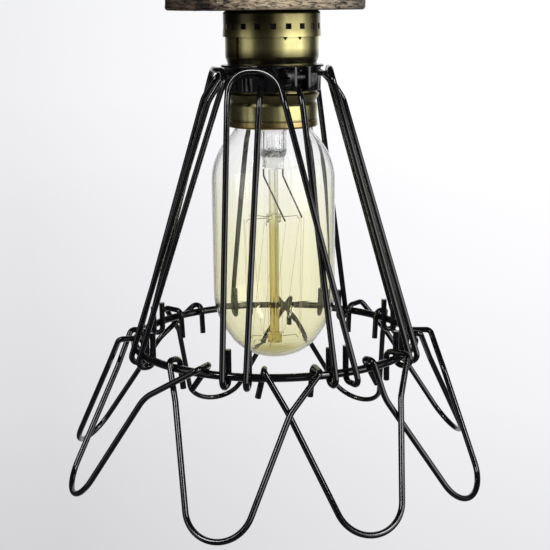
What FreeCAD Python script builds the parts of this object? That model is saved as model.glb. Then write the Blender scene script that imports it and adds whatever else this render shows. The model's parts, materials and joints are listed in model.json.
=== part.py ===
import FreeCAD, Part
import math
import os
import re
import Sketcher
from FreeCAD import Placement, Rotation, Vector

# Caged pendant light that hangs under a ceiling block.
# Millimetres. The origin is the middle of the block's top face, which lies against the
# ceiling, so everything hangs down along -Z. The block's front faces -Y.
# An azimuth is measured about Z from the front, and grows towards +X.
os.makedirs("parts", exist_ok=True)
doc = FreeCAD.newDocument("pendant_light")
sheet = doc.addObject("Spreadsheet::Sheet", "Sizes")
sums = doc.addObject("Spreadsheet::Sheet", "Sums")

# Driving dimensions
SIZES = {
    # wooden block
    "block_width": 65.3,
    "block_height": 28.0,
    "block_edge_round": 1.2,
    "recess_diameter": 40.0,
    "recess_depth": 16.0,
    "fixing_hole": 4.5,
    "fixing_head": 9.0,
    "fixing_land": 1.65,
    # nipple that holds the socket to the block
    "nipple_diameter": 10.0,
    "nipple_bore": 7.0,
    "nipple_above_nut": 0.7,
    "washer_diameter": 18.0,
    "washer_thickness": 1.0,
    "nut_across_flats": 14.0,
    "nut_height": 5.0,
    "bushing_diameter": 15.0,
    "bushing_height": 2.8,
    # clearances
    "hole_clearance": 0.25,
    "thread_clearance": 0.05,
    "seat_clearance": 0.05,
    "running_clearance": 0.3,
    "tip_clearance": 0.3,
    # leads and their connector
    "lead_diameter": 2.4,
    "lead_spacing": 3.2,
    "connector_width": 17.0,
    "connector_depth": 8.0,
    "connector_height": 13.0,
    "connector_offset": 13.5,
    "lead_entry_height": 9.2,
    "connector_pitch": 9.0,
    "connector_screw": 3.0,
    # socket: drops are measured down from the block's underside
    "cap_height": 8.95,
    "cap_wall": 0.55,
    "cap_top": 0.8,
    "cap_flare": 0.25,
    "cap_edge_round": 1.2,
    "window_count": 20,
    "window_width": 2.1,
    "window_height": 1.95,
    "window_drop": 5.4,
    "shell_wall": 0.6,
    "shell_top_drop": 6.9,
    "shoulder_step": 0.75,
    "shoulder_drop": 15.9,
    "shoulder_round": 2.0,
    "waist_drop": 18.1,
    "bead_step": 0.9,
    "bead_drop": 28.9,
    "groove_step": 0.5,
    "groove_drop": 31.6,
    "skirt_step": 0.1,
    "skirt_drop": 32.6,
    "lip_height": 2.5,
    "lip_roll": 0.2,
    "lip_round": 0.7,
    "socket_length": 40.5,
    "slot_width": 1.1,
    "notch_width": 2.4,
    "notch_height": 1.2,
    "liner_wall": 0.45,
    "liner_gap": 0.55,
    "liner_top_drop": 7.5,
    "liner_bottom_drop": 30.0,
    "core_top_drop": 3.9,
    "core_height": 7.8,
    "lead_well": 3.0,
    "core_screw": 2.0,
    "screw_shell_wall": 0.6,
    "screw_shell_rise": 6.5,
    "contact_radius": 3.5,
    "contact_thickness": 0.9,
    "rivet_diameter": 2.4,
    "rivet_length": 2.2,
    # bulb
    "base_radius": 13.2,
    "base_wall": 0.4,
    "base_rise": 4.5,
    "tip_radius": 4.5,
    "tip_thickness": 1.2,
    "insulator_height": 2.4,
    "neck_gap": 0.2,
    "neck_rise": 0.3,
    "neck_overlap": 3.0,
    "neck_round": 10.0,
    "bulb_radius": 22.3,
    "glass_shoulder": 11.5,
    "barrel_round": 22.0,
    "dome_height": 16.0,
    "dome_flat_radius": 11.0,
    "dome_round": 26.0,
    "dome_end_round": 18.0,
    "bulb_drop": 125.0,
    "glass_wall": 0.8,
    "stem_radius": 5.0,
    "stem_flare_drop": 42.2,
    "stem_drop": 50.0,
    "pinch_radius": 4.1,
    "pinch_thickness": 4.6,
    "pinch_drop": 56.0,
    "rod_radius": 1.75,
    "bead_glass_radius": 2.7,
    "bead_glass_height": 3.0,
    "upper_bead_drop": 72.2,
    "lower_bead_drop": 117.0,
    "support_wire": 0.4,
    "upper_hook_radius": 10.8,
    "lower_hook_radius": 9.8,
    "filament_wire": 0.2,
    "lead_in_wire": 0.6,
    # clamp that carries the cage
    "clamp_drop": 18.6,
    "clamp_height": 9.0,
    "clamp_sheet": 1.2,
    "flange_reach": 1.0,
    "flange_thickness": 0.9,
    "ear_spacing": 5.1,
    "ear_length": 9.1,
    "ear_height": 8.4,
    "clamp_screw_stand": 6.5,
    "clamp_screw_drop": 22.4,
    "clamp_screw_diameter": 2.4,
    "screw_head_diameter": 5.5,
    "screw_head_height": 2.0,
    "clamp_washer_diameter": 5.8,
    "clamp_washer_thickness": 0.5,
    "clamp_nut_across_flats": 5.0,
    "clamp_nut_height": 2.2,
    # cage
    "wire_diameter": 2.1,
    "ring_wire_diameter": 2.8,
    "ring_radius": 51.7,
    "ring_drop": 118.85,
    "crown_drop": 21.6,
    "crown_step": 1.4,
    "crown_gap": 0.15,
    "leg_stand": 9.6,
    "leg_top_drop": 30.6,
    "leg_bend": 12.0,
    "hook_bend": 2.4,
    "foot_tail": 8.5,
    "petal_reach": 77.05,
    "petal_drop": 46.5,
    "petal_end_bend": 11.7,
    "petal_knee_width": 20.3,
    "petal_knee_length": 14.0,
    "petal_tail": 8.0,
    "hook_stand": 3.8,
}
for row, (name, value) in enumerate(SIZES.items(), start=1):
    sheet.set(f"A{row}", str(value))
    sheet.setAlias(f"A{row}", name)
doc.recompute()


def read(name):
    """Value of one driving dimension, read back from the sheet."""
    return float(sheet.get(name))


def amount(expression):
    """Value of a sum of driving dimensions."""
    sums.set("A1", "=" + bound(expression))
    sums.recompute()
    return float(sums.get("A1"))


def bound(expression):
    """The same sum, written for an object outside the sheet."""
    return re.sub(r"\b([a-z][a-z_]+)\b(?!\()", r"Sizes.\1", expression)


def bind(thing, **sums):
    """Tie properties of a document object to the sheet."""
    for property_name, expression in sums.items():
        thing.setExpression(property_name.replace("__", "."), bound(expression))


def polar(azimuth, radius, z):
    """Point at an azimuth in degrees about the lamp's axis."""
    angle = math.radians(azimuth)
    return Vector(radius * math.sin(angle), -radius * math.cos(angle), z)


# Sketches
def origin_plane(body, role):
    return [item for item in body.Origin.OriginFeatures if item.Role == role][0]


def new_sketch(body, name, role, turn=0.0):
    """Sketch on one of the body's own planes; turn swings an upright one about Z."""
    sketch = body.newObject("Sketcher::SketchObject", name)
    sketch.AttachmentSupport = [(origin_plane(body, role), "")]
    sketch.MapMode = "FlatFace"
    if turn:
        sketch.AttachmentOffset = Placement(Vector(), Rotation(Vector(0, 1, 0), turn))
    return sketch


def pin_point(sketch, item, end, across, up):
    """Hold a sketch point at two sums of the sheet."""
    for kind, axis, expression in (("DistanceX", -2, across), ("DistanceY", -1, up)):
        value = amount(expression)
        if abs(value) < 1e-9:
            sketch.addConstraint(Sketcher.Constraint("PointOnObject", item, end, axis))
            continue
        number = sketch.addConstraint(Sketcher.Constraint(kind, -1, 1, item, end, value))
        sketch.setExpression(f"Constraints[{number}]", bound(expression))


def draw_outline(sketch, outline):
    """Closed outline of straight runs; a corner with a third entry is rounded to it."""
    corners = [Vector(amount(c[0]), amount(c[1]), 0) for c in outline]
    count = len(corners)
    cuts = []
    for i, corner in enumerate(corners):
        if len(outline[i]) < 3:
            cuts.append((corner, corner, None))
            continue
        back = (corners[i - 1] - corner).normalize()
        ahead = (corners[(i + 1) % count] - corner).normalize()
        radius = amount(outline[i][2])
        half = back.getAngle(ahead) / 2
        reach = radius / math.tan(half)
        centre = corner + (back + ahead).normalize() * (radius / math.sin(half))
        cuts.append((corner + back * reach, corner + ahead * reach, centre))
    lines = []
    for i in range(count):
        run = Part.LineSegment(cuts[i][1], cuts[(i + 1) % count][0])
        lines.append(sketch.addGeometry(run, False))
    for i in range(count):
        before, after = lines[i - 1], lines[i]
        start, end, centre = cuts[i]
        if centre is None:
            sketch.addConstraint(Sketcher.Constraint("Coincident", before, 2, after, 1))
            pin_point(sketch, after, 1, outline[i][0], outline[i][1])
            continue
        middle = centre + ((start + end) * 0.5 - centre).normalize() * (start - centre).Length
        arc = sketch.addGeometry(Part.Arc(start, middle, end), False)
        turns_left = (start - centre).cross(end - centre).z > 0
        first, last = (1, 2) if turns_left else (2, 1)
        sketch.addConstraint(Sketcher.Constraint("Tangent", before, 2, arc, first))
        sketch.addConstraint(Sketcher.Constraint("Tangent", arc, last, after, 1))
        number = sketch.addConstraint(Sketcher.Constraint("Radius", arc, amount(outline[i][2])))
        sketch.setExpression(f"Constraints[{number}]", bound(outline[i][2]))
        corner = sketch.addGeometry(Part.Point(corners[i]), True)
        sketch.addConstraint(Sketcher.Constraint("PointOnObject", corner, 1, before))
        sketch.addConstraint(Sketcher.Constraint("PointOnObject", corner, 1, after))
        pin_point(sketch, corner, 1, outline[i][0], outline[i][1])


def draw_circle(sketch, across, up, radius):
    """Circle placed and sized by sums of the sheet."""
    centre = Vector(amount(across), amount(up), 0)
    circle = Part.Circle(centre, Vector(0, 0, 1), amount(radius))
    item = sketch.addGeometry(circle, False)
    number = sketch.addConstraint(Sketcher.Constraint("Radius", item, amount(radius)))
    sketch.setExpression(f"Constraints[{number}]", bound(radius))
    if abs(centre.x) < 1e-9 and abs(centre.y) < 1e-9:
        sketch.addConstraint(Sketcher.Constraint("Coincident", item, 3, -1, 1))
    else:
        pin_point(sketch, item, 3, across, up)


def rectangle(left, bottom, right, top):
    """Four corners of an upright rectangle, as sums of the sheet."""
    return [(left, bottom), (right, bottom), (right, top), (left, top)]


# Bodies
pieces = []


def keep(thing, label):
    """Name a finished piece; its name is also its file's name."""
    thing.Label = label
    pieces.append(thing)
    return thing


def new_body(label, level="0"):
    """Body whose own zero height lies at a level of the lamp."""
    body = doc.addObject("PartDesign::Body", label)
    bind(body, Placement__Base__z=level)
    return keep(body, label)


SOCKET_LEVEL = "-block_height"

# The socket is built outwards from the bulb's base
WAIST = ("base_radius + running_clearance + screw_shell_wall + liner_gap + liner_wall"
         " + seat_clearance * 2 + shell_wall")
SHELL_TOP = f"{WAIST} + shoulder_step"
CAP_TOP = f"{SHELL_TOP} + seat_clearance + cap_wall"
CAP_EDGE = f"{CAP_TOP} + cap_flare"


def turned(label, outline, level=SOCKET_LEVEL):
    """Body turned about the lamp's axis from an outline of radius and height."""
    body = new_body(label, level)
    sketch = new_sketch(body, label + "_profile", "XZ_Plane")
    draw_outline(sketch, outline)
    turn = body.newObject("PartDesign::Revolution", label + "_turn")
    turn.Profile = sketch
    turn.ReferenceAxis = (sketch, ["V_Axis"])
    turn.Angle = 360
    doc.recompute()
    return body


def pad(body, name, sketch, length, reverse=False):
    feature = body.newObject("PartDesign::Pad", name)
    feature.Profile = sketch
    feature.Reversed = reverse
    bind(feature, Length=length)
    doc.recompute()
    return feature


def pocket(body, name, sketch, length, reverse=False, both_ways=False):
    """Pocket that has to take something away."""
    before = body.Shape.Volume
    feature = body.newObject("PartDesign::Pocket", name)
    feature.Profile = sketch
    feature.Reversed = reverse
    feature.Midplane = both_ways
    bind(feature, Length=length)
    doc.recompute()
    if body.Shape.Volume > before - 1e-6:
        raise RuntimeError(name + " cuts nothing")
    return feature


def dress(body, kind, name, edges, **sums):
    """Fillet or chamfer on edges that are picked by a test."""
    base = body.Tip
    picked = [f"Edge{n}" for n, edge in enumerate(body.Shape.Edges, start=1) if edges(edge)]
    feature = body.newObject("PartDesign::" + kind, name)
    feature.Base = (base, picked)
    bind(feature, **sums)
    doc.recompute()
    return feature


def around(body, feature, count):
    """Repeat a feature around the lamp's axis."""
    pattern = body.newObject("PartDesign::PolarPattern", feature.Name + "_pattern")
    pattern.Originals = [feature]
    axis = [item for item in body.Origin.OriginFeatures if item.Role == "Z_Axis"][0]
    pattern.Axis = (axis, [""])
    pattern.Angle = 360
    bind(pattern, Occurrences=count)
    body.Tip = pattern
    doc.recompute()


def group(label, members):
    """One node of separate solids."""
    compound = doc.addObject("Part::Compound", label)
    compound.Links = members
    return keep(compound, label)


# Bent wires
def bent_path(points, bends):
    """Straight runs joined by tangent arcs, with one bend radius for each inner point."""
    edges = []
    start = points[0]
    for i, radius in enumerate(bends, start=1):
        corner = points[i]
        back = (points[i - 1] - corner).normalize()
        ahead = (points[i + 1] - corner).normalize()
        half = back.getAngle(ahead) / 2
        if half > math.radians(89.9):
            continue
        reach = radius / math.tan(half)
        centre = corner + (back + ahead).normalize() * (radius / math.sin(half))
        arc_start = corner + back * reach
        arc_end = corner + ahead * reach
        middle = centre + (corner - centre).normalize() * radius
        if (arc_start - start).dot(corner - start) <= 0:
            raise RuntimeError(f"no room for bend {i}")
        edges.append(Part.LineSegment(start, arc_start).toShape())
        edges.append(Part.Arc(arc_start, middle, arc_end).toShape())
        start = arc_end
    edges.append(Part.LineSegment(start, points[-1]).toShape())
    return Part.Wire(edges)


def bent_wire(label, points, bends, diameter):
    """Round wire swept along a bent path."""
    path = doc.addObject("Part::Feature", label + "_path")
    path.Shape = bent_path(points, bends)
    section = doc.addObject("Part::Circle", label + "_section")
    bind(section, Radius=f"{diameter} / 2")
    heading = Rotation(Vector(0, 0, 1), points[1] - points[0])
    section.Placement = Placement(points[0], heading)
    sweep = doc.addObject("Part::Sweep", label)
    sweep.Sections = [section]
    sweep.Spine = (path, [])
    sweep.Solid = True
    sweep.Frenet = False
    return sweep


# Wooden block with a wiring recess and two countersunk fixing holes
FIXING_OFFSET = "block_width / 2 - fixing_head / 2 - fixing_land"


def mounting_block():
    body = new_body("mounting_block")
    outline = new_sketch(body, "block_outline", "XY_Plane")
    half = "block_width / 2"
    draw_outline(outline, rectangle(f"-{half}", f"-{half}", half, half))
    pad(body, "block_pad", outline, "block_height", reverse=True)
    dress(body, "Fillet", "block_softened", lambda edge: edge.BoundBox.ZMin < -0.001,
          Radius="block_edge_round")
    recess = new_sketch(body, "recess_outline", "XY_Plane")
    draw_circle(recess, "0", "0", "recess_diameter / 2")
    pocket(body, "recess", recess, "recess_depth")
    bore = new_sketch(body, "bore_outline", "XY_Plane")
    draw_circle(bore, "0", "0", "nipple_diameter / 2 + hole_clearance")
    pocket(body, "nipple_hole", bore, "block_height * 2")
    holes = new_sketch(body, "fixing_outline", "XY_Plane")
    for side in (f"-({FIXING_OFFSET})", FIXING_OFFSET):
        draw_circle(holes, side, "0", "fixing_hole / 2")
    pocket(body, "fixing_holes", holes, "block_height * 2")
    underside = -read("block_height")
    hole = read("fixing_hole")

    def rim(edge):
        box = edge.BoundBox
        low = abs(box.ZMin - underside) < 0.01 and box.ZLength < 0.01
        return low and abs(box.XLength - hole) < 0.01 and abs(box.YLength - hole) < 0.01

    dress(body, "Chamfer", "screw_head_seats", rim, Size="(fixing_head - fixing_hole) / 2")


# Nipple, washer and nuts
NIPPLE_TOP = "-recess_depth + washer_thickness + nut_height + nipple_above_nut"
NIPPLE_END = "-block_height - cap_top - bushing_height"


def ring_piece(label, inner, outer, low, high, level="0"):
    """Plain ring between two radii and two heights."""
    return turned(label, rectangle(inner, low, outer, high), level)


def hexagon_nut(label, across_flats, bore, height, level):
    """Hexagon nut that stands on a level, about the body's Z axis."""
    body = new_body(label, level)
    sketch = new_sketch(body, label + "_outline", "XY_Plane")
    flat = f"{across_flats} / 2"
    corner = f"{across_flats} / sqrt(3)"
    half_side = f"{across_flats} / sqrt(12)"
    draw_outline(sketch, [
        (corner, "0"),
        (half_side, flat),
        (f"-{half_side}", flat),
        (f"-{corner}", "0"),
        (f"-{half_side}", f"-{flat}"),
        (half_side, f"-{flat}"),
    ])
    draw_circle(sketch, "0", "0", bore)
    pad(body, label + "_pad", sketch, height)
    return body


def nipple_parts():
    ring_piece("threaded_nipple", "nipple_bore / 2", "nipple_diameter / 2",
               NIPPLE_END, NIPPLE_TOP)
    ring_piece("nipple_washer", "nipple_diameter / 2 + hole_clearance", "washer_diameter / 2",
               "-recess_depth", "-recess_depth + washer_thickness")
    hexagon_nut("nipple_nut", "nut_across_flats", "nipple_diameter / 2 + thread_clearance",
                "nut_height", "-recess_depth + washer_thickness")


# Connector in the recess, with its screws and the two leads down to the socket
LEAD_LEVEL = "-recess_depth + lead_entry_height"
SCREW_ROW = "connector_offset + connector_depth / 5"


def connector():
    body = new_body("connector_block", "-recess_depth")
    sketch = new_sketch(body, "connector_outline", "XY_Plane")
    near = "connector_offset - connector_depth / 2"
    far = "connector_offset + connector_depth / 2"
    half = "connector_width / 2"
    draw_outline(sketch, rectangle(f"-{half}", near, half, far))
    pad(body, "connector_pad", sketch, "connector_height")
    entries = new_sketch(body, "lead_entries", "XZ_Plane")
    wells = new_sketch(body, "screw_wells", "XY_Plane")
    for side in ("-connector_pitch / 2", "connector_pitch / 2"):
        draw_circle(entries, side, "lead_entry_height", "lead_diameter / 2 + hole_clearance")
        draw_circle(wells, side, SCREW_ROW, "connector_screw / 2 + thread_clearance")
    pocket(body, "lead_holes", entries, SCREW_ROW)
    pocket(body, "screw_holes", wells, "connector_height", reverse=True)


def connector_screws():
    screws = []
    for name, side in (("left", "-"), ("right", "")):
        screw = doc.addObject("Part::Cylinder", f"connector_screw_{name}")
        bind(screw, Radius="connector_screw / 2")
        bind(screw, Height="connector_height - lead_entry_height - lead_diameter / 2 - hole_clearance")
        bind(screw, Placement__Base__x=f"{side}connector_pitch / 2")
        bind(screw, Placement__Base__y=SCREW_ROW)
        bind(screw, Placement__Base__z=f"{LEAD_LEVEL} + lead_diameter / 2 + hole_clearance")
        screws.append(screw)
    group("connector_screws", screws)


def leads():
    """Two insulated leads from the connector, down the nipple and into the core."""
    level = amount(LEAD_LEVEL)
    end = amount("-block_height - core_top_drop - lead_well + tip_clearance")
    for label, side in (("live_lead", -1), ("neutral_lead", 1)):
        inner = side * read("lead_spacing") / 2
        outer = side * read("connector_pitch") / 2
        entry = amount("connector_offset - connector_depth / 2 - lead_diameter")
        points = [
            Vector(inner, 0, end),
            Vector(inner, 0, level),
            Vector(outer, entry, level),
            Vector(outer, read("connector_offset"), level),
        ]
        bend = read("lead_diameter")
        keep(bent_wire(label, points, [bend, bend], "lead_diameter"), label)


# Socket: cap with its vent windows, bushing, shell, liner, core and contacts
def socket_cap():
    body = turned("socket_cap", [
        ("nipple_diameter / 2 + hole_clearance", "0"),
        (CAP_TOP, "0", "cap_edge_round"),
        (CAP_TOP, "-window_drop"),
        (CAP_EDGE, "-cap_height"),
        (f"{CAP_EDGE} - cap_wall", "-cap_height"),
        (f"{CAP_TOP} - cap_wall", "-window_drop"),
        (f"{CAP_TOP} - cap_wall", "-cap_top"),
        ("nipple_diameter / 2 + hole_clearance", "-cap_top"),
    ])
    sketch = new_sketch(body, "window_outline", "XZ_Plane", WINDOW_TURN)
    half = "window_width / 2"
    draw_outline(sketch, rectangle(f"-{half}", "-window_drop - window_height / 2",
                                   half, "-window_drop + window_height / 2"))
    window = pocket(body, "window", sketch, f"{CAP_EDGE} + cap_wall", reverse=True)
    around(body, window, "window_count")


def cap_bushing():
    ring_piece("cap_bushing", "nipple_diameter / 2 + thread_clearance", "bushing_diameter / 2",
               "-cap_top - bushing_height", "-cap_top", SOCKET_LEVEL)


def shell_side(inset):
    """Side of the socket shell from the top down, set in by a wall or by nothing."""
    return [
        (f"{SHELL_TOP} - {inset}", "-shell_top_drop"),
        (f"{SHELL_TOP} - {inset}", "-shoulder_drop"),
        (f"{WAIST} - {inset}", "-waist_drop"),
        (f"{WAIST} - {inset}", "-clamp_drop - clamp_height - clamp_sheet / 2"),
        (f"{WAIST} + bead_step - {inset}", "-bead_drop"),
        (f"{WAIST} - groove_step - {inset}", "-groove_drop"),
        (f"{WAIST} + skirt_step - {inset}", "-skirt_drop"),
        (f"{WAIST} + skirt_step - {inset}", "-socket_length + lip_height"),
    ]


def socket_shell():
    outside = shell_side("0")
    inside = shell_side("shell_wall")
    outside[1] = outside[1] + ("shoulder_round",)
    lip = [
        (f"{WAIST} + skirt_step + lip_roll", "-socket_length + lip_height - lip_roll"),
        (f"{WAIST} + skirt_step + lip_roll", "-socket_length", "lip_round"),
        (f"{WAIST} + skirt_step - shell_wall - lip_roll", "-socket_length"),
        (f"{WAIST} + skirt_step - shell_wall - lip_roll", "-socket_length + lip_height - lip_roll"),
    ]
    body = turned("socket_shell", outside + lip + inside[::-1])
    slot = new_sketch(body, "shell_slot_outline", "XZ_Plane", SLOT_TURN)
    draw_outline(slot, rectangle("-slot_width / 2", "-waist_drop",
                                 "slot_width / 2", "-shell_top_drop - shell_wall"))
    pocket(body, "shell_slot", slot, CAP_EDGE, reverse=True)
    for number, turn in enumerate(NOTCH_TURNS, start=1):
        notch = new_sketch(body, f"notch_outline_{number}", "XZ_Plane", turn)
        draw_outline(notch, [
            ("-notch_width / 2", "-cap_height + notch_height / 4"),
            ("notch_width / 2", "-cap_height + notch_height / 4"),
            ("0", "-cap_height - notch_height"),
        ])
        pocket(body, f"notch_{number}", notch, CAP_EDGE, reverse=True)


def insulating_liner():
    outer = f"{WAIST} - shell_wall - seat_clearance * 2"
    ring_piece("insulating_liner", f"{outer} - liner_wall", outer,
               "-liner_bottom_drop", "-liner_top_drop", SOCKET_LEVEL)


CORE_RADIUS = f"{WAIST} - shell_wall - liner_wall - seat_clearance * 4"
CORE_BOTTOM = "-core_top_drop - core_height"


def socket_core():
    body = turned("socket_core", rectangle("0", CORE_BOTTOM, CORE_RADIUS, "-core_top_drop"))
    wells = new_sketch(body, "lead_wells", "XY_Plane")
    for side in ("-lead_spacing / 2", "lead_spacing / 2"):
        draw_circle(wells, side, "0", "lead_diameter / 2 + thread_clearance")
    pocket(body, "lead_well_bores", wells, "core_top_drop + lead_well")
    screws = new_sketch(body, "core_screw_outline", "YZ_Plane")
    draw_circle(screws, "0", "-core_top_drop - lead_well / 2",
                "core_screw / 2 + thread_clearance")
    pocket(body, "core_screw_holes", screws, f"({CORE_RADIUS}) * 2", both_ways=True)
    rivet = new_sketch(body, "rivet_outline", "XY_Plane")
    draw_circle(rivet, "0", "0", "rivet_diameter / 2 + thread_clearance")
    hole = body.newObject("PartDesign::Pocket", "rivet_hole")
    hole.Profile = rivet
    hole.Reversed = False
    bind(hole, Length="core_top_drop + core_height")
    doc.recompute()


def core_screws():
    """Two screws that press the leads in the core."""
    screws = []
    inner = "lead_spacing / 2 + lead_diameter / 2 + seat_clearance"
    for name, side in (("left", -1), ("right", 1)):
        screw = doc.addObject("Part::Cylinder", f"core_screw_{name}")
        bind(screw, Radius="core_screw / 2", Height=f"{CORE_RADIUS} - ({inner})")
        screw.Placement = Placement(Vector(), Rotation(Vector(0, 0, 1), Vector(side, 0, 0)))
        bind(screw, Placement__Base__x=f"{side} * ({inner})")
        bind(screw, Placement__Base__z=f"{SOCKET_LEVEL} - core_top_drop - lead_well / 2")
        screws.append(screw)
    group("core_screws", screws)


def screw_shell():
    inner = "base_radius + running_clearance"
    outer = f"{inner} + screw_shell_wall"
    turned("screw_shell", [
        ("contact_radius + running_clearance * 4", CORE_BOTTOM),
        (outer, CORE_BOTTOM),
        (outer, "-socket_length + screw_shell_rise"),
        (inner, "-socket_length + screw_shell_rise"),
        (inner, f"{CORE_BOTTOM} - screw_shell_wall"),
        ("contact_radius + running_clearance * 4", f"{CORE_BOTTOM} - screw_shell_wall"),
    ])


def centre_contact():
    """Contact disc under the core, with the shank that fixes it."""
    turned("centre_contact", [
        ("0", f"{CORE_BOTTOM} - contact_thickness"),
        ("contact_radius", f"{CORE_BOTTOM} - contact_thickness"),
        ("contact_radius", CORE_BOTTOM),
        ("rivet_diameter / 2", CORE_BOTTOM),
        ("rivet_diameter / 2", f"{CORE_BOTTOM} + rivet_length"),
        ("0", f"{CORE_BOTTOM} + rivet_length"),
    ])


# Bulb
TIP_TOP = f"{CORE_BOTTOM} - contact_thickness - tip_clearance"
BASE_TOP = f"{TIP_TOP} - tip_thickness - insulator_height"


def base_contact():
    turned("base_contact", [
        ("0", f"{TIP_TOP} - tip_thickness"),
        ("tip_radius", f"{TIP_TOP} - tip_thickness"),
        ("tip_radius - tip_thickness / 2", TIP_TOP),
        ("0", TIP_TOP),
    ])


def base_insulator():
    turned("base_insulator", [
        ("0", BASE_TOP),
        ("base_radius - base_wall - insulator_height", BASE_TOP),
        ("tip_radius + tip_thickness / 2", f"{TIP_TOP} - tip_thickness"),
        ("0", f"{TIP_TOP} - tip_thickness"),
    ])


def bulb_screw_base():
    turned("bulb_screw_base", [
        ("base_radius - base_wall - insulator_height", BASE_TOP),
        ("base_radius", f"{BASE_TOP} - insulator_height"),
        ("base_radius", "-socket_length + base_rise"),
        ("base_radius - base_wall", "-socket_length + base_rise"),
        ("base_radius - base_wall", f"{BASE_TOP} - insulator_height - base_wall"),
        ("base_radius - base_wall * 2 - insulator_height", f"{BASE_TOP} - base_wall"),
        ("base_radius - base_wall * 2 - insulator_height", BASE_TOP),
    ])


NECK = "base_radius - base_wall - neck_gap"


def glass_side(inset):
    """Side of the glass from the neck down, set in by a wall or by nothing."""
    return [
        (f"{NECK} - {inset}", "-socket_length + base_rise + neck_overlap"),
        (f"{NECK} - {inset}", "-socket_length + neck_rise", "neck_round"),
        (f"bulb_radius - {inset}", "-socket_length - glass_shoulder", "barrel_round"),
        (f"bulb_radius - {inset}", f"-bulb_drop + dome_height + {inset} / 2", "dome_round"),
        (f"dome_flat_radius - {inset} / 2", f"-bulb_drop + {inset}", "dome_end_round"),
        ("0", f"-bulb_drop + {inset}"),
    ]


def bulb_glass():
    turned("bulb_glass", glass_side("0") + glass_side("glass_wall")[::-1])


def glass_stem():
    """Flared tube inside the neck that closes into a flat pinch."""
    bore = "stem_radius - glass_wall"
    body = turned("glass_stem", [
        (f"{NECK} - glass_wall - seat_clearance", "-socket_length + base_rise + neck_overlap / 2"),
        ("stem_radius", "-stem_flare_drop", "stem_radius"),
        ("stem_radius", "-stem_drop", "rod_radius"),
        ("pinch_radius", "-stem_drop - rod_radius", "rod_radius"),
        ("pinch_radius", "-pinch_drop"),
        ("0", "-pinch_drop"),
        ("0", "-stem_drop + glass_wall"),
        (bore, "-stem_drop + glass_wall"),
        (bore, "-stem_flare_drop", "stem_radius"),
        (f"{NECK} - glass_wall * 2", "-socket_length + base_rise + neck_overlap / 2"),
    ])
    flats = new_sketch(body, "pinch_outline", "YZ_Plane")
    for side in ("", "-"):
        draw_outline(flats, rectangle(
            f"{side}pinch_thickness / 2", "-pinch_drop - rod_radius",
            f"{side}stem_radius * 2", "-stem_drop - rod_radius"))
    pocket(body, "pinch_flats", flats, "stem_radius * 4", both_ways=True)


def glass_rod():
    """Rod under the pinch with the two beads that hold the support wires."""
    turned("glass_rod", [
        ("0", "-lower_bead_drop - bead_glass_height"),
        ("bead_glass_radius", "-lower_bead_drop - bead_glass_height"),
        ("bead_glass_radius", "-lower_bead_drop"),
        ("rod_radius", "-lower_bead_drop"),
        ("rod_radius", "-upper_bead_drop - bead_glass_height"),
        ("bead_glass_radius", "-upper_bead_drop - bead_glass_height"),
        ("bead_glass_radius", "-upper_bead_drop"),
        ("rod_radius", "-upper_bead_drop"),
        ("rod_radius", "-pinch_drop"),
        ("0", "-pinch_drop"),
    ])


UPPER_HOOKS = 5
LOWER_HOOKS = 6


def hook_azimuths(count, gap):
    """Azimuths of the support wires, spread round the rod beside a gap at the right."""
    step = (360 - gap) / count
    return [FILAMENT_TURN + gap / 2 + step * (i + 0.5) for i in range(count)]


def supports(label, count, drop, reach):
    """Radial wires that stand out of a bead and turn down or up into an eye."""
    level = amount(f"-block_height - {drop} - bead_glass_height / 2")
    start = amount("bead_glass_radius + seat_clearance")
    members = []
    for number, azimuth in enumerate(hook_azimuths(count, HOOK_GAP), start=1):
        points = [
            polar(azimuth, start, level),
            polar(azimuth, read(reach) - read("support_wire") * 3, level),
            polar(azimuth, read(reach) - read("support_wire"), level - read("support_wire") * 3),
        ]
        wire = bent_wire(f"{label}_{number}", points, [read("support_wire")], "support_wire")
        members.append(wire)
    group(label, members)


def filament():
    """Thread that runs up and down between the two rows of eyes."""
    upper = amount("-block_height - upper_bead_drop - bead_glass_height / 2")
    lower = amount("-block_height - lower_bead_drop - bead_glass_height / 2")
    gap = read("support_wire") / 2 + read("filament_wire")
    wide = math.degrees(read("support_wire") / read("lower_hook_radius"))
    low = [(azimuth, read("lower_hook_radius") + gap, lower)
           for azimuth in hook_azimuths(LOWER_HOOKS, HOOK_GAP)]
    high = [(azimuth, read("upper_hook_radius") + gap, upper)
            for azimuth in hook_azimuths(UPPER_HOOKS, HOOK_GAP)]
    ends = [(FILAMENT_TURN + side * LEAD_IN_SPLIT, read("upper_hook_radius") + gap, upper)
            for side in (1, -1)]
    points = [polar(*ends[0])]
    for number, (azimuth, radius, level) in enumerate(low):
        points.append(polar(azimuth - wide, radius, level))
        points.append(polar(azimuth + wide, radius, level))
        if number < len(high):
            azimuth, radius, level = high[number]
            points.append(polar(azimuth - wide, radius, level))
            points.append(polar(azimuth + wide, radius, level))
    points.append(polar(*ends[1]))
    bends = [read("filament_wire")] * (len(points) - 2)
    keep(bent_wire("filament", points, bends, "filament_wire"), "filament")


def lead_in_wires():
    """Two stiff wires from the pinch to the ends of the filament."""
    top = amount("-block_height - pinch_drop - seat_clearance")
    end = amount("-block_height - upper_bead_drop - bead_glass_height / 2 + filament_wire")
    members = []
    for name, side in (("left", -1), ("right", 1)):
        azimuth = FILAMENT_TURN + side * LEAD_IN_SPLIT
        start = amount("pinch_radius - lead_in_wire")
        points = [
            polar(side * 90, start, top),
            polar(side * 90, start, top - read("lead_in_wire") * 4),
            polar(azimuth, read("upper_hook_radius") - read("lead_in_wire") / 2, end),
        ]
        wire = bent_wire(f"lead_in_{name}", points, [read("lead_in_wire") * 2], "lead_in_wire")
        members.append(wire)
    group("lead_in_wires", members)


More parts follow.
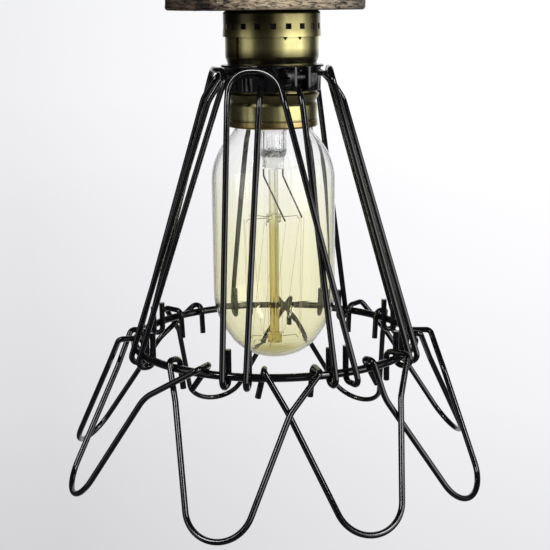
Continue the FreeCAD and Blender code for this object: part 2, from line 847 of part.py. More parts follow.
# Clamp: a split band with a flange and two ears that a screw draws together
EAR_REACH = f"{WAIST} + ear_length"
CLAMP_SCREW_RADIUS = f"{WAIST} + clamp_screw_stand"


def ear_outline(side):
    """Plan of one ear, which starts inside the band."""
    near = "ear_spacing / 2 - clamp_sheet / 2"
    far = "ear_spacing / 2 + clamp_sheet / 2"
    root = f"-({WAIST}) - running_clearance * 2"
    if side < 0:
        return rectangle(f"-({far})", f"-({EAR_REACH})", f"-({near})", root)
    return rectangle(near, f"-({EAR_REACH})", far, root)


def clamp_band():
    inner = f"{WAIST} + running_clearance"
    outer = f"{inner} + clamp_sheet"
    body = turned("clamp_band", [
        (inner, "-clamp_drop"),
        (f"{outer} + flange_reach", "-clamp_drop"),
        (f"{outer} + flange_reach", "-clamp_drop - flange_thickness"),
        (outer, "-clamp_drop - flange_thickness"),
        (outer, "-clamp_drop - clamp_height"),
        (inner, "-clamp_drop - clamp_height"),
    ])
    split = new_sketch(body, "split_outline", "XY_Plane")
    half = "ear_spacing / 2 - clamp_sheet / 2"
    draw_outline(split, rectangle(f"-({half})", f"-({EAR_REACH})", half, "0"))
    pocket(body, "split", split, "clamp_drop + clamp_height * 2")
    for name, side in (("left", -1), ("right", 1)):
        ear = new_sketch(body, f"{name}_ear_outline", "XY_Plane")
        ear.AttachmentOffset = Placement(Vector(0, 0, -read("clamp_drop")), Rotation())
        ear.setExpression("AttachmentOffset.Base.z", "-Sizes.clamp_drop")
        draw_outline(ear, ear_outline(side))
        pad(body, f"{name}_ear", ear, "ear_height", reverse=True)
    holes = new_sketch(body, "ear_holes_outline", "YZ_Plane")
    draw_circle(holes, f"-({CLAMP_SCREW_RADIUS})", "-clamp_screw_drop",
                "clamp_screw_diameter / 2 + running_clearance")
    pocket(body, "ear_holes", holes, "(ear_spacing + clamp_sheet) * 2", both_ways=True)
    pass_through = new_sketch(body, "wire_window_outline", "YZ_Plane")
    near = f"-({WAIST} + running_clearance + clamp_sheet - wire_diameter / 6)"
    far = f"-({INNER_CROWN} + wire_diameter / 2 + running_clearance)"
    low = f"-({INNER_DROP}) - wire_diameter / 2 - running_clearance * 2"
    high = f"-({INNER_DROP}) + wire_diameter / 2 + running_clearance"
    draw_outline(pass_through, rectangle(far, low, near, high))
    pocket(body, "wire_window", pass_through, "ear_spacing / 2 + clamp_sheet", reverse=True)
    turn_about_axis(body, CLAMP_AZIMUTH)


def turn_about_axis(thing, azimuth):
    """Swing a piece about the lamp's axis, keeping its level."""
    thing.Placement = Placement(thing.Placement.Base, Rotation(Vector(0, 0, 1), azimuth))
    doc.recompute()


CLAMP_SCREW_LEVEL = "-block_height - clamp_screw_drop"


def lay_across(body):
    """Put a piece made about Z on the clamp screw's line, with +Z towards the nut."""
    upright = Rotation(Vector(0, 0, 1), Vector(1, 0, 0))
    swing = Rotation(Vector(0, 0, 1), CLAMP_AZIMUTH)
    place = polar(CLAMP_AZIMUTH, amount(CLAMP_SCREW_RADIUS), 0)
    body.Placement = Placement(place, swing.multiply(upright))
    angle = f"{CLAMP_AZIMUTH} deg"
    reach = bound(CLAMP_SCREW_RADIUS)
    body.setExpression("Placement.Base.x", f"({reach}) * sin({angle})")
    body.setExpression("Placement.Base.y", f"-({reach}) * cos({angle})")
    body.setExpression("Placement.Base.z", bound(CLAMP_SCREW_LEVEL))
    doc.recompute()


WASHER_FACE = "-ear_spacing / 2 - clamp_sheet / 2 - seat_clearance"


def clamp_washer():
    body = ring_piece("clamp_washer", "clamp_screw_diameter / 2 + thread_clearance * 3",
                      "clamp_washer_diameter / 2",
                      f"{WASHER_FACE} - clamp_washer_thickness", WASHER_FACE)
    lay_across(body)


def clamp_screw():
    head_face = f"{WASHER_FACE} - clamp_washer_thickness - seat_clearance"
    end = "ear_spacing / 2 + clamp_sheet / 2 + clamp_nut_height + wire_diameter / 2"
    body = turned("clamp_screw", [
        ("0", f"{head_face} - screw_head_height"),
        ("screw_head_diameter / 2", f"{head_face} - screw_head_height", "seat_clearance * 8"),
        ("screw_head_diameter / 2", head_face),
        ("clamp_screw_diameter / 2", head_face),
        ("clamp_screw_diameter / 2", end),
        ("0", end),
    ], "0")
    slot = new_sketch(body, "driver_slot_outline", "XZ_Plane")
    top = f"{head_face} - screw_head_height"
    draw_outline(slot, rectangle("-slot_width / 3", f"{top} - slot_width",
                                 "slot_width / 3", f"{top} + screw_head_height / 2"))
    pocket(body, "driver_slot", slot, "screw_head_diameter * 2", both_ways=True)
    lay_across(body)


def clamp_nut():
    body = hexagon_nut("clamp_nut", "clamp_nut_across_flats",
                       "clamp_screw_diameter / 2 + thread_clearance",
                       "clamp_nut_height", "0")
    sketch = [item for item in body.Group if item.TypeId.startswith("Sketcher")][0]
    sketch.AttachmentOffset = Placement(
        Vector(0, 0, amount("ear_spacing / 2 + clamp_sheet / 2 + seat_clearance")), Rotation())
    sketch.setExpression("AttachmentOffset.Base.z",
                         bound("ear_spacing / 2 + clamp_sheet / 2 + seat_clearance"))
    doc.recompute()
    lay_across(body)


# Cage ring
def cage_ring():
    ring = doc.addObject("Part::Torus", "cage_ring")
    bind(ring, Radius1="ring_radius", Radius2="ring_wire_diameter / 2")
    bind(ring, Placement__Base__z="-block_height - ring_drop")
    keep(ring, "cage_ring")


# Upper wires: each is a crown round the clamp, two legs and two hooks under the ring
INNER_CROWN = f"{WAIST} + running_clearance + clamp_sheet + seat_clearance + wire_diameter / 2"
OUTER_CROWN = f"{INNER_CROWN} + wire_diameter + crown_gap"
INNER_DROP = "crown_drop"
OUTER_DROP = "crown_drop - crown_step"


def on_line(top, foot, z, near):
    """Azimuth where a leg's line, carried on upwards, reaches a height."""
    point = top + (top - foot) * ((z - top.z) / (top.z - foot.z))
    azimuth = math.degrees(math.atan2(point.x, -point.y))
    return near + (azimuth - near + 180) % 360 - 180


def foot_points(azimuth, spread):
    """Hook under the ring: outer corner, inner corner and the end of the tail."""
    ring = read("ring_radius")
    level = amount("-block_height - ring_drop")
    low = level - amount("ring_wire_diameter / 2 + wire_diameter / 2 + hook_bend / 2")
    outer = ring + amount("ring_wire_diameter / 2 + wire_diameter / 2") + spread
    inner = ring - amount("ring_wire_diameter / 2 + wire_diameter / 2 + seat_clearance * 4")
    return [
        polar(azimuth, outer, low),
        polar(azimuth, inner, low),
        polar(azimuth, inner, level + read("foot_tail")),
    ]


def upper_wire(number, left, right, outer):
    """One wire; left and right hold what UPPER_WIRES lists for each side."""
    thick = read("wire_diameter")
    crown = amount(OUTER_CROWN if outer else INNER_CROWN)
    level = amount(f"-block_height - ({OUTER_DROP if outer else INNER_DROP})")
    top_level = amount("-block_height - leg_top_drop")
    sides = []
    for top_azimuth, foot_azimuth, corner, bend, top_stand, spread in (left, right):
        foot = foot_points(foot_azimuth, spread * thick)
        top_radius = amount(f"{WAIST} + leg_stand") + top_stand * thick
        top = polar(top_azimuth, top_radius, top_level)
        azimuth = on_line(top, foot[0], level, top_azimuth)
        sides.append((foot, top, azimuth, crown + corner * thick, crown * bend))
    tangents = [math.degrees(math.acos(crown / side[3])) for side in sides]
    start = sides[0][2] + tangents[0]
    end = sides[1][2] - tangents[1]
    half = max((end - start) / 2, 0.5)
    middle = polar((start + end) / 2, crown / math.cos(math.radians(half)), level)
    feet = [side[0] for side in sides]
    tops = [side[1] for side in sides]
    corners = [polar(side[2], side[3], level) for side in sides]
    points = feet[0][::-1] + [tops[0], corners[0], middle, corners[1], tops[1]] + feet[1]
    hook = read("hook_bend")
    leg = read("leg_bend")
    bends = [hook, hook, leg, sides[0][4], crown, sides[1][4], leg, hook, hook]
    label = f"upper_wire_{number}"
    keep(bent_wire(label, points, bends, "wire_diameter"), label)


# Petals: each hangs over the ring by two hooks and ends in a round bow
def petal(number, centre, left, right):
    """One petal; left and right hold (hook azimuth, stand off the ring, tail lean)."""
    level = amount("-block_height - ring_drop")
    over = amount("ring_wire_diameter / 2 + wire_diameter / 2 + seat_clearance * 8")
    hook_radius = read("ring_radius") + over * 0.7
    spread = (right[0] - left[0]) / 2
    seat = hook_radius * math.cos(math.radians(min(spread, PETAL_SPREAD)))
    drop = read("petal_drop") + over
    run = read("petal_reach") - seat
    slope = math.atan2(run, drop)
    length = math.hypot(run, drop)
    out = polar(centre, 1, 0)
    side = polar(centre + 90, 1, 0)
    down = out * math.sin(slope) - Vector(0, 0, math.cos(slope))
    top = Vector(0, 0, level + over)
    stand = (left[1] + right[1]) / 2
    tilt = (right[1] - left[1]) / 2 / read("petal_knee_width")

    def on_petal(across, along):
        return top + out * (seat + stand + tilt * across) + side * across + down * along

    bow = read("petal_end_bend")
    knee_width = read("petal_knee_width")
    knee_length = read("petal_knee_length")
    centre_length = length - bow
    lean = math.asin(bow / math.hypot(knee_width, centre_length - knee_length))
    aim = math.atan2(knee_width, centre_length - knee_length) - lean
    point_length = knee_length + knee_width / math.tan(aim)
    end = on_petal(0, point_length)
    tail = level - read("petal_tail")
    inner = read("ring_radius") - over
    halves = []
    for sign, (azimuth, stand_off, tail_lean) in ((-1, left), (1, right)):
        halves.append([
            polar(azimuth + tail_lean, inner - over / 4, tail),
            polar(azimuth, inner, level + over),
            polar(azimuth, hook_radius + stand_off, level + over),
            on_petal(sign * knee_width, knee_length),
        ])
    points = halves[0] + [end] + halves[1][::-1]
    hook = read("hook_bend")
    knee = read("leg_bend")
    bends = [hook, hook * 0.8, knee, bow, knee, hook * 0.8, hook]
    label = f"petal_{number}"
    keep(bent_wire(label, points, bends, "wire_diameter"), label)


# Hand-bent directions, in degrees about the axis; no two wires are quite alike
WINDOW_TURN = 6.5
SLOT_TURN = -40.8
NOTCH_TURNS = (21.2, 40.5)
CLAMP_AZIMUTH = 29.5
FILAMENT_TURN = 56.0
HOOK_GAP = 74.0
LEAD_IN_SPLIT = 28.0
PETAL_SPREAD = 28.0

# For each side: azimuths of the top and the foot, crown corner beyond the crown in wire
# diameters, corner bend as a share of the crown's, and in wire diameters again the top
# beyond the legs' usual stand and the foot's spread beyond the ring wire
UPPER_WIRES = [
    ((-31.5, -13.5, 0.762, 0.358, 0.286, 0.667), (13.2, 34.0, 0.762, 0.533, 1.714, 1.762), True),
    ((29.0, 26.5, 0.238, 0.174, -0.286, 0.714), (85.0, 72.0, 0.429, 0.25, 0, 0.667), False),
    ((68.0, 65.0, 0.857, 0.3, 0.19, 0.667), (124.0, 124.5, 0.857, 0.3, 0.19, 0.667), True),
    ((111.0, 116.5, 0.381, 0.25, 0, 0.667), (155.0, 161.0, 0.381, 0.25, 0, 0.667), False),
    ((143.0, 153.0, 0.857, 0.3, 0.19, 0.667), (204.0, 205.0, 0.857, 0.3, 0.19, 0.667), True),
    ((194.0, 197.0, 0.429, 0.25, 0, 0.667), (263.0, 256.0, 0.429, 0.25, 0, 0.667), False),
    ((256.0, 248.0, 0.857, 0.3, 0.19, 0.667), (318.0, 304.0, 0.857, 0.3, 0.19, 0.667), True),
    ((304.0, 296.0, 0.381, 0.25, 0, 0.667), (354.8, 354.8, 0.571, 0.359, 0, 0.667), False),
]

# For each petal: its middle, then for each side the hook, how many stands off the ring, and
# how far the tail leans
PETALS = [
    (-9.7, (-37.0, 0, 1.0), (20.0, 1, -1.0)),
    (29.0, (1.0, 0, -3.0), (57.5, 1, 1.5)),
    (63.7, (43.0, 0, 9.0), (93.5, 1, 0.0)),
    (118.5, (88.0, 0, 0.0), (147.0, 1, 0.0)),
    (157.1, (130.0, 0, 0.0), (184.5, 1, 0.0)),
    (205.4, (177.5, 0, 0.0), (234.5, 1, 0.0)),
    (257.8, (222.0, 0, 0.0), (286.0, 1, 0.0)),
    (299.9, (272.0, 0, 0.0), (338.5, 1, -10.0)),
]

mounting_block()
nipple_parts()
connector()
connector_screws()
leads()
socket_cap()
cap_bushing()
socket_shell()
insulating_liner()
socket_core()
core_screws()
screw_shell()
centre_contact()
base_contact()
base_insulator()
bulb_screw_base()
bulb_glass()
glass_stem()
glass_rod()
supports("upper_supports", UPPER_HOOKS, "upper_bead_drop", "upper_hook_radius")
supports("lower_supports", LOWER_HOOKS, "lower_bead_drop", "lower_hook_radius")
lead_in_wires()
filament()
clamp_band()
clamp_washer()
clamp_screw()
clamp_nut()
cage_ring()
for wire_number, (left_side, right_side, is_outer) in enumerate(UPPER_WIRES, start=1):
    upper_wire(wire_number, left_side, right_side, is_outer)
for petal_number, (middle, left_hook, right_hook) in enumerate(PETALS, start=1):
    hooks = [(hook, stands * read("hook_stand"), lean)
             for hook, stands, lean in (left_hook, right_hook)]
    petal(petal_number, middle, hooks[0], hooks[1])

doc.recompute()
for thing in doc.Objects:
    if "Invalid" in thing.State or "Error" in thing.State:
        raise RuntimeError(thing.Name + " is not made")
for piece in pieces:
    if piece.Shape.isNull() or not piece.Shape.isValid():
        raise RuntimeError(piece.Label + " has no sound shape")
for piece in pieces:
    piece.Shape.exportStep(os.path.join("parts", piece.Label + ".step"))
print(len(pieces), "pieces")
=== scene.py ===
import json
import math

import bmesh
import bpy
from mathutils import Euler, Matrix, Vector
from mathutils import noise as marks


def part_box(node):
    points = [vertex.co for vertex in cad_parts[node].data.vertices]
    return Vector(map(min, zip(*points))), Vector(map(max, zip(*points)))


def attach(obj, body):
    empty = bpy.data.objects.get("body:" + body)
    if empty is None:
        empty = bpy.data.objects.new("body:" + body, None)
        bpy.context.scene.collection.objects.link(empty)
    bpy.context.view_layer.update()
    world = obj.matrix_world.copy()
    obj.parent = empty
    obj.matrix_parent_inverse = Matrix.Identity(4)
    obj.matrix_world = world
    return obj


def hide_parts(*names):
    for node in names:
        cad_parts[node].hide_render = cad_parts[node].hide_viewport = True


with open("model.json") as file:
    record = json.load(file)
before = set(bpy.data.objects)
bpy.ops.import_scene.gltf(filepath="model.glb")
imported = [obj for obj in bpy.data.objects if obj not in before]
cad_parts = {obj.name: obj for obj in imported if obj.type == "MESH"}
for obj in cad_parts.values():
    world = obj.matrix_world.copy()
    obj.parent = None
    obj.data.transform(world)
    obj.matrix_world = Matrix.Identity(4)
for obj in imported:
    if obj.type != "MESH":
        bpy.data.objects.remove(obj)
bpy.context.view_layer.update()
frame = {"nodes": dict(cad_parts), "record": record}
nodes = frame["nodes"]
slots = {part["node"]: part["material_slot"] for part in frame["record"]["subparts"]}
bodies_of = {name: body for body, members in frame["record"]["behaviour"]["bodies"].items()
             for name in members}
MM = 0.001

# Camera at the photographed angle
PICTURE_SIDE = 550
FOCAL_PIXELS = 1217.5
EYE_DISTANCE = 0.4377
EYE_LEVEL = -0.02965
EYE_AZIMUTH = 5.0
LOOK_DOWN = 12.05
LOOK_RIGHT = 0.04
HEAD_TILT = 0.56

scene = bpy.context.scene
camera_data = bpy.data.cameras.new("studio_camera")
camera_data.sensor_width = 36.0
camera_data.lens = camera_data.sensor_width * FOCAL_PIXELS / PICTURE_SIDE
camera_data.clip_start = 0.01
camera_data.clip_end = 60.0
camera = bpy.data.objects.new("studio_camera", camera_data)
scene.collection.objects.link(camera)
eye_turn = math.radians(EYE_AZIMUTH)
camera.location = (EYE_DISTANCE * math.sin(eye_turn), -EYE_DISTANCE * math.cos(eye_turn), EYE_LEVEL)
heading = Euler((math.radians(90 - LOOK_DOWN), 0, math.radians(EYE_AZIMUTH - LOOK_RIGHT)))
tilt = Matrix.Rotation(math.radians(-HEAD_TILT), 3, "Z")
camera.rotation_euler = (heading.to_matrix() @ tilt).to_euler()
scene.camera = camera
scene.view_settings.view_transform = "Standard"


# Node materials
def add(tree, kind, **sockets):
    """New shader node; a socket is given a value or another node's output."""
    node = tree.nodes.new(kind)
    for name, value in sockets.items():
        wire_up(tree, node.inputs[name.replace("_", " ")], value)
    return node


def wire_up(tree, socket, value):
    if isinstance(value, bpy.types.NodeSocket):
        tree.links.new(value, socket)
    else:
        socket.default_value = value


def place(tree, stretch=(1, 1, 1)):
    """Object coordinates in metres, stretched along each axis."""
    where = add(tree, "ShaderNodeTexCoord")
    mapping = add(tree, "ShaderNodeMapping", Vector=where.outputs["Object"])
    mapping.inputs["Scale"].default_value = stretch
    return mapping.outputs["Vector"]


def noise(tree, where, scale, detail, rough):
    """Grey cloud from 0 to 1; the scale is its lumps per metre."""
    made = add(tree, "ShaderNodeTexNoise", Vector=where, Scale=scale, Detail=detail, Roughness=rough)
    return made.outputs["Fac"]


def ramp(tree, amount, *stops):
    """Colours or greys between positions."""
    made = add(tree, "ShaderNodeValToRGB", Fac=amount)
    band = made.color_ramp
    while len(band.elements) < len(stops):
        band.elements.new(0.5)
    for element, (position, colour) in zip(band.elements, stops):
        element.position = position
        if not isinstance(colour, tuple):
            colour = (colour,) * 3
        element.color = colour + (1.0,)
    return made.outputs["Color"]


def blend_colours(tree, amount, one, other, how="MIX"):
    made = add(tree, "ShaderNodeMix")
    made.data_type = "RGBA"
    made.blend_type = how
    for index, value in ((0, amount), (6, one), (7, other)):
        if isinstance(value, tuple) and len(value) == 3:
            value = value + (1.0,)
        wire_up(tree, made.inputs[index], value)
    return made.outputs[2]


def sum_of(tree, how, one, other=0.0):
    made = add(tree, "ShaderNodeMath")
    made.operation = how
    wire_up(tree, made.inputs[0], one)
    wire_up(tree, made.inputs[1], other)
    return made.outputs[0]


def bump(tree, height, depth, strength):
    """Surface relief whose full height is depth metres."""
    made = add(tree, "ShaderNodeBump", Height=height, Distance=depth, Strength=strength)
    return made.outputs["Normal"]


def new_finish(name, **values):
    """Material with one Principled shader; values are its sockets."""
    finish = bpy.data.materials.new(name)
    finish.use_nodes = True
    shader = finish.node_tree.nodes["Principled BSDF"]
    for socket, value in values.items():
        shader.inputs[socket.replace("_", " ")].default_value = value
    return finish, finish.node_tree, shader


def set_finish(tree, shader, colour=None, roughness=None, normal=None):
    for socket, value in (("Base Color", colour), ("Roughness", roughness), ("Normal", normal)):
        if value is not None:
            wire_up(tree, shader.inputs[socket], value)


def round_the_axis(tree):
    """Coordinates that are the same all the way round the lamp: distance out and height."""
    where = add(tree, "ShaderNodeTexCoord")
    parts = add(tree, "ShaderNodeSeparateXYZ", Vector=where.outputs["Object"])
    square_x = sum_of(tree, "MULTIPLY", parts.outputs["X"], parts.outputs["X"])
    square_y = sum_of(tree, "MULTIPLY", parts.outputs["Y"], parts.outputs["Y"])
    out = sum_of(tree, "SQRT", sum_of(tree, "ADD", square_x, square_y))
    made = add(tree, "ShaderNodeCombineXYZ", X=out, Z=parts.outputs["Z"])
    return made.outputs["Vector"]


def ragged_place(tree, amount):
    """Object coordinates pushed about along the grain, so that a patch has a ragged outline."""
    where = add(tree, "ShaderNodeTexCoord")
    stir = add(tree, "ShaderNodeTexNoise", Vector=place(tree, (0.25, 1, 1)),
               Scale=420.0, Detail=7.0, Roughness=0.8)
    push = add(tree, "ShaderNodeVectorMath", Vector=stir.outputs["Color"])
    push.operation = "SUBTRACT"
    push.inputs[1].default_value = (0.5, 0.5, 0.5)
    moved = add(tree, "ShaderNodeVectorMath", Vector=push.outputs["Vector"])
    moved.operation = "MULTIPLY_ADD"
    moved.inputs[1].default_value = (amount, 0.5 * amount, 0.5 * amount)
    wire_up(tree, moved.inputs[2], where.outputs["Object"])
    return moved.outputs["Vector"]


def ball_of_tone(tree, centre, reach, where=None):
    """1 at a place on the piece, fading to 0 at a distance along each axis."""
    if where is None:
        where = add(tree, "ShaderNodeTexCoord").outputs["Object"]
    mapping = add(tree, "ShaderNodeMapping", Vector=where)
    mapping.vector_type = "TEXTURE"
    mapping.inputs["Location"].default_value = centre
    mapping.inputs["Scale"].default_value = reach
    ball = add(tree, "ShaderNodeTexGradient", Vector=mapping.outputs["Vector"])
    ball.gradient_type = "SPHERICAL"
    return ball.outputs["Fac"]


def shares_of_span(stops):
    """The same tones, with each position as a share of the way from the first to the last."""
    first, last = stops[0][0], stops[-1][0]
    return [((position - first) / (last - first), tone) for position, tone in stops]


def height_bands(tree, *stops):
    """Tone by level; each stop is a level in mm and a tone, from the lowest up."""
    where = add(tree, "ShaderNodeTexCoord")
    parts = add(tree, "ShaderNodeSeparateXYZ", Vector=where.outputs["Object"])
    level = add(tree, "ShaderNodeMapRange", Value=parts.outputs["Z"])
    level.inputs["From Min"].default_value = stops[0][0] * MM
    level.inputs["From Max"].default_value = stops[-1][0] * MM
    return ramp(tree, level.outputs["Result"], *shares_of_span(stops))


# Wood: tones by the strength of the streaks and blotches, where it is greyer at the front, and where
# it is paler: scraped wood, and a painted highlight low on the front
STREAK_TONES = [(0.36, (0.006, 0.004, 0.003)), (0.49, (0.032, 0.022, 0.014)),
                (0.58, (0.085, 0.058, 0.037)), (0.68, (0.24, 0.18, 0.12))]
BLOTCH_TONES = [(0.33, (0.45, 0.42, 0.40)), (0.50, (0.95, 0.92, 0.9)), (0.68, (1.9, 1.85, 1.75))]
# Tones of the greyer patch at the front
GREY_TONES = [(0.36, (0.05, 0.043, 0.034)), (0.50, (0.17, 0.15, 0.12)), (0.62, (0.33, 0.30, 0.26))]
SCRAPED_AND_HIGHLIT_TONES = [(0.36, (0.20, 0.155, 0.10)), (0.52, (0.68, 0.56, 0.38))]
RAGGEDNESS = 0.036
# Greyer patch on the right of the front face
FRONT_GREY_PLACE = ((0.024, -0.034, -0.024), (0.034, 0.02, 0.016))
# Places where the wood is pale: middle, reach and depth. The first, low on the front along the bottom
# edge, is a painted highlight; the others are scraped wood.
WORN_AND_HIGHLIT_PLACES = [
    ((0.0080, -0.0345, -0.0270), (0.0260, 0.010, 0.0130), 1.0),
    ((-0.0290, -0.0345, -0.0060), (0.0120, 0.006, 0.0060), 0.35),
    ((0.0345, 0.0120, -0.0280), (0.0100, 0.018, 0.0080), 0.5),
    ((-0.0100, 0.0345, -0.0280), (0.0220, 0.008, 0.0070), 0.6),
    ((-0.0345, -0.0050, -0.0250), (0.0080, 0.016, 0.0090), 0.4),
    ((0.0200, 0.0280, -0.0010), (0.0200, 0.010, 0.0060), 0.35),
]


def rustic_walnut():
    """Dark sawn wood, greyer at the right of the front, with ragged pale places: scraped wood, and a
    painted highlight low on the front.
    """
    finish, tree, shader = new_finish("rustic_walnut", Specular_IOR_Level=0.3)
    streaks = noise(tree, place(tree, (0.30, 1.0, 1.0)), 900.0, 8.0, 0.78)
    fibres = noise(tree, place(tree, (0.22, 1.0, 1.0)), 1900.0, 4.0, 0.7)
    blotches = noise(tree, place(tree, (0.55, 1, 1)), 70.0, 3.0, 0.6)
    body = ramp(tree, streaks, *STREAK_TONES)
    tone = ramp(tree, blotches, *BLOTCH_TONES)
    body = blend_colours(tree, 1.0, body, tone, "MULTIPLY")
    ragged = ragged_place(tree, RAGGEDNESS)
    grey = ramp(tree, ball_of_tone(tree, *FRONT_GREY_PLACE, ragged), (0.0, 0.0), (0.5, 0.85))
    body = blend_colours(tree, grey, body, ramp(tree, streaks, *GREY_TONES))
    patches = []
    for centre, reach, depth in WORN_AND_HIGHLIT_PLACES:
        patch = ball_of_tone(tree, centre, reach, ragged)
        patches.append(ramp(tree, patch, (0.05, 0.0), (0.3, 0.45 * depth), (0.65, depth)))
    worn_and_highlit = patches[0]
    for patch in patches[1:]:
        worn_and_highlit = sum_of(tree, "MAXIMUM", worn_and_highlit, patch)
    worn_and_highlit = sum_of(tree, "MULTIPLY", worn_and_highlit, ramp(tree, fibres, (0.36, 0.3), (0.50, 1.0)))
    body = blend_colours(tree, worn_and_highlit, body, ramp(tree, streaks, *SCRAPED_AND_HIGHLIT_TONES))
    cracks = ramp(tree, fibres, (0.38, 0.10), (0.47, 1.0))
    body = blend_colours(tree, 0.8, body, cracks, "MULTIPLY")
    rough = ramp(tree, streaks, (0.3, 0.85), (0.7, 0.55))
    relief = blend_colours(tree, 0.5, streaks, cracks)
    set_finish(tree, shader, body, rough, bump(tree, relief, 0.7 * MM, 0.9))
    return finish


# Brass: its tones, the bands by level, which hold both patina and painted shade, and the places of
# painted shade with their depth
LACQUERED = (0.62, 0.572, 0.26)
DULLED = (0.20, 0.16, 0.055)
# Tone of the patches of painted shade
PAINTED_SHADE_TONE = (0.05, 0.042, 0.016)
BRASS_ROUGHNESS = 0.27
# Shell bands: a copper tint at the lip, darker in the grooves, and painted shade at the waist and
# shoulder round the clamp
SHELL_TARNISH_AND_SHADE = [
    (-68.6, (0.22, 0.15, 0.10)), (-67.9, (0.85, 0.68, 0.56)), (-66.3, (0.95, 0.82, 0.74)),
    (-65.8, (0.40, 0.34, 0.29)), (-65.2, (1.0, 1.0, 1.0)), (-60.9, (1.0, 1.0, 1.0)),
    (-59.7, (0.42, 0.38, 0.34)), (-57.6, (0.85, 0.82, 0.78)), (-56.6, (1.0, 1.0, 1.0)),
    (-55.8, (0.30, 0.28, 0.26)), (-44.6, (0.16, 0.15, 0.13)), (-43.2, (0.26, 0.25, 0.22)),
    (-42.0, (0.62, 0.60, 0.56)), (-40.8, (1.0, 1.0, 1.0)), (-38.0, (1.0, 1.0, 1.0)),
    (-36.9, (0.62, 0.58, 0.52)),
]
# Cap bands: painted shade, darkest at the top under the wooden block
CAP_SHADE_BANDS = [
    (-37.0, (1.0, 1.0, 1.0)), (-36.2, (0.9, 0.88, 0.82)), (-34.4, (0.55, 0.53, 0.49)),
    (-29.6, (0.42, 0.40, 0.37)), (-28.0, (0.12, 0.115, 0.10)),
]
# Painted shade: dark patches standing in for the dark room mirrored at the front of the shell and the
# front-left of the cap
SHELL_PAINTED_SHADE = ((-0.006, -0.02, -0.056), (0.022, 0.02, 0.006), 0.5)
CAP_PAINTED_SHADE = ((-0.012, -0.014, -0.0305), (0.018, 0.016, 0.0042), 0.9)


def antique_brass(name, tarnish_and_shade, painted_shade):
    """Lacquered spun brass, cloudy and speckled, darker in its bands, partly patina and partly
    painted shade, and at its patch of painted shade.
    """
    finish, tree, shader = new_finish(name, Metallic=1.0, Coat_Weight=0.35, Coat_Roughness=0.3)
    spun = noise(tree, round_the_axis(tree), 5200.0, 3.0, 0.6)
    cloud = noise(tree, place(tree), 170.0, 5.0, 0.62)
    specks = noise(tree, place(tree), 2100.0, 3.0, 0.6)
    tone = ramp(tree, cloud, (0.34, DULLED), (0.56, LACQUERED))
    tone = blend_colours(tree, 0.72, tone, LACQUERED)
    spots = ramp(tree, specks, (0.27, 0.5), (0.36, 1.0))
    tone = blend_colours(tree, 0.8, tone, spots, "MULTIPLY")
    tone = blend_colours(tree, 1.0, tone, height_bands(tree, *tarnish_and_shade), "MULTIPLY")
    centre, reach, depth = painted_shade
    at_painted_shade = ramp(tree, ball_of_tone(tree, centre, reach), (0.0, 0.0), (0.6, depth))
    tone = blend_colours(tree, at_painted_shade, tone, PAINTED_SHADE_TONE)
    gloss = ramp(tree, cloud, (0.3, BRASS_ROUGHNESS + 0.03), (0.7, BRASS_ROUGHNESS))
    set_finish(tree, shader, tone, gloss, bump(tree, spun, 0.002 * MM, 0.4))
    return finish


def black_enamel():
    """Glossy black stoving enamel with a slight peel and a few scuffs."""
    finish, tree, shader = new_finish("black_enamel", Specular_IOR_Level=0.75)
    peel = noise(tree, place(tree), 900.0, 3.0, 0.5)
    wear = noise(tree, place(tree), 300.0, 4.0, 0.6)
    chips = noise(tree, place(tree), 1500.0, 3.0, 0.65)
    colour = ramp(tree, wear, (0.35, (0.0022, 0.0022, 0.0030)), (0.75, (0.0065, 0.0062, 0.0075)))
    scuffs = ramp(tree, chips, (0.70, 0.0), (0.76, 1.0))
    scuffs = sum_of(tree, "MULTIPLY", scuffs, 0.3)
    colour = blend_colours(tree, scuffs, colour, (0.03, 0.029, 0.028))
    rough = ramp(tree, wear, (0.3, 0.08), (0.7, 0.11))
    set_finish(tree, shader, colour, rough, bump(tree, peel, 0.003 * MM, 0.12))
    return finish


# Glass: tints by level in mm, for the face and for the rim where it turns away; the darker rim tint
# is painted shade, standing in for the dark room seen through the edges
CLEAR = (1.0, 1.0, 1.0)
BULB_TINTS = [
    (-153.0, (0.36, 0.33, 0.10)), (-152.0, (0.60, 0.56, 0.28)), (-150.6, (0.88, 0.86, 0.60)),
    (-145.5, (0.97, 0.95, 0.76)), (-115.0, (0.99, 0.98, 0.80)), (-95.0, (1.0, 0.995, 0.90)),
    (-78.0, CLEAR),
]
BULB_RIM = [(-152.0, (0.24, 0.22, 0.04)), (-146.0, (0.34, 0.34, 0.26)), (-80.0, (0.36, 0.37, 0.34))]
STEM_TINTS = [(-84.0, (0.86, 0.87, 0.86)), (-66.0, (0.93, 0.93, 0.93))]
STEM_RIM = [(-84.0, (0.04, 0.04, 0.04)), (-66.0, (0.04, 0.04, 0.04))]
# Painted sparkle: levels of the pinch where dark specks stand in for the sparkle of the pinched glass
STEM_PAINTED_SPARKLE = [(-80.0, 0.0), (-79.0, 1.0), (-77.2, 1.0), (-76.4, 0.0)]
ROD_TINTS = [(-148.0, (0.60, 0.50, 0.16)), (-106.0, (0.62, 0.56, 0.25)), (-99.0, (0.80, 0.79, 0.62)),
             (-84.0, (0.86, 0.86, 0.80))]
ROD_RIM = [(-148.0, (0.20, 0.13, 0.02)), (-84.0, (0.22, 0.21, 0.12))]
THIN_WALL_IOR = 1.22
SOLID_IOR = 1.5


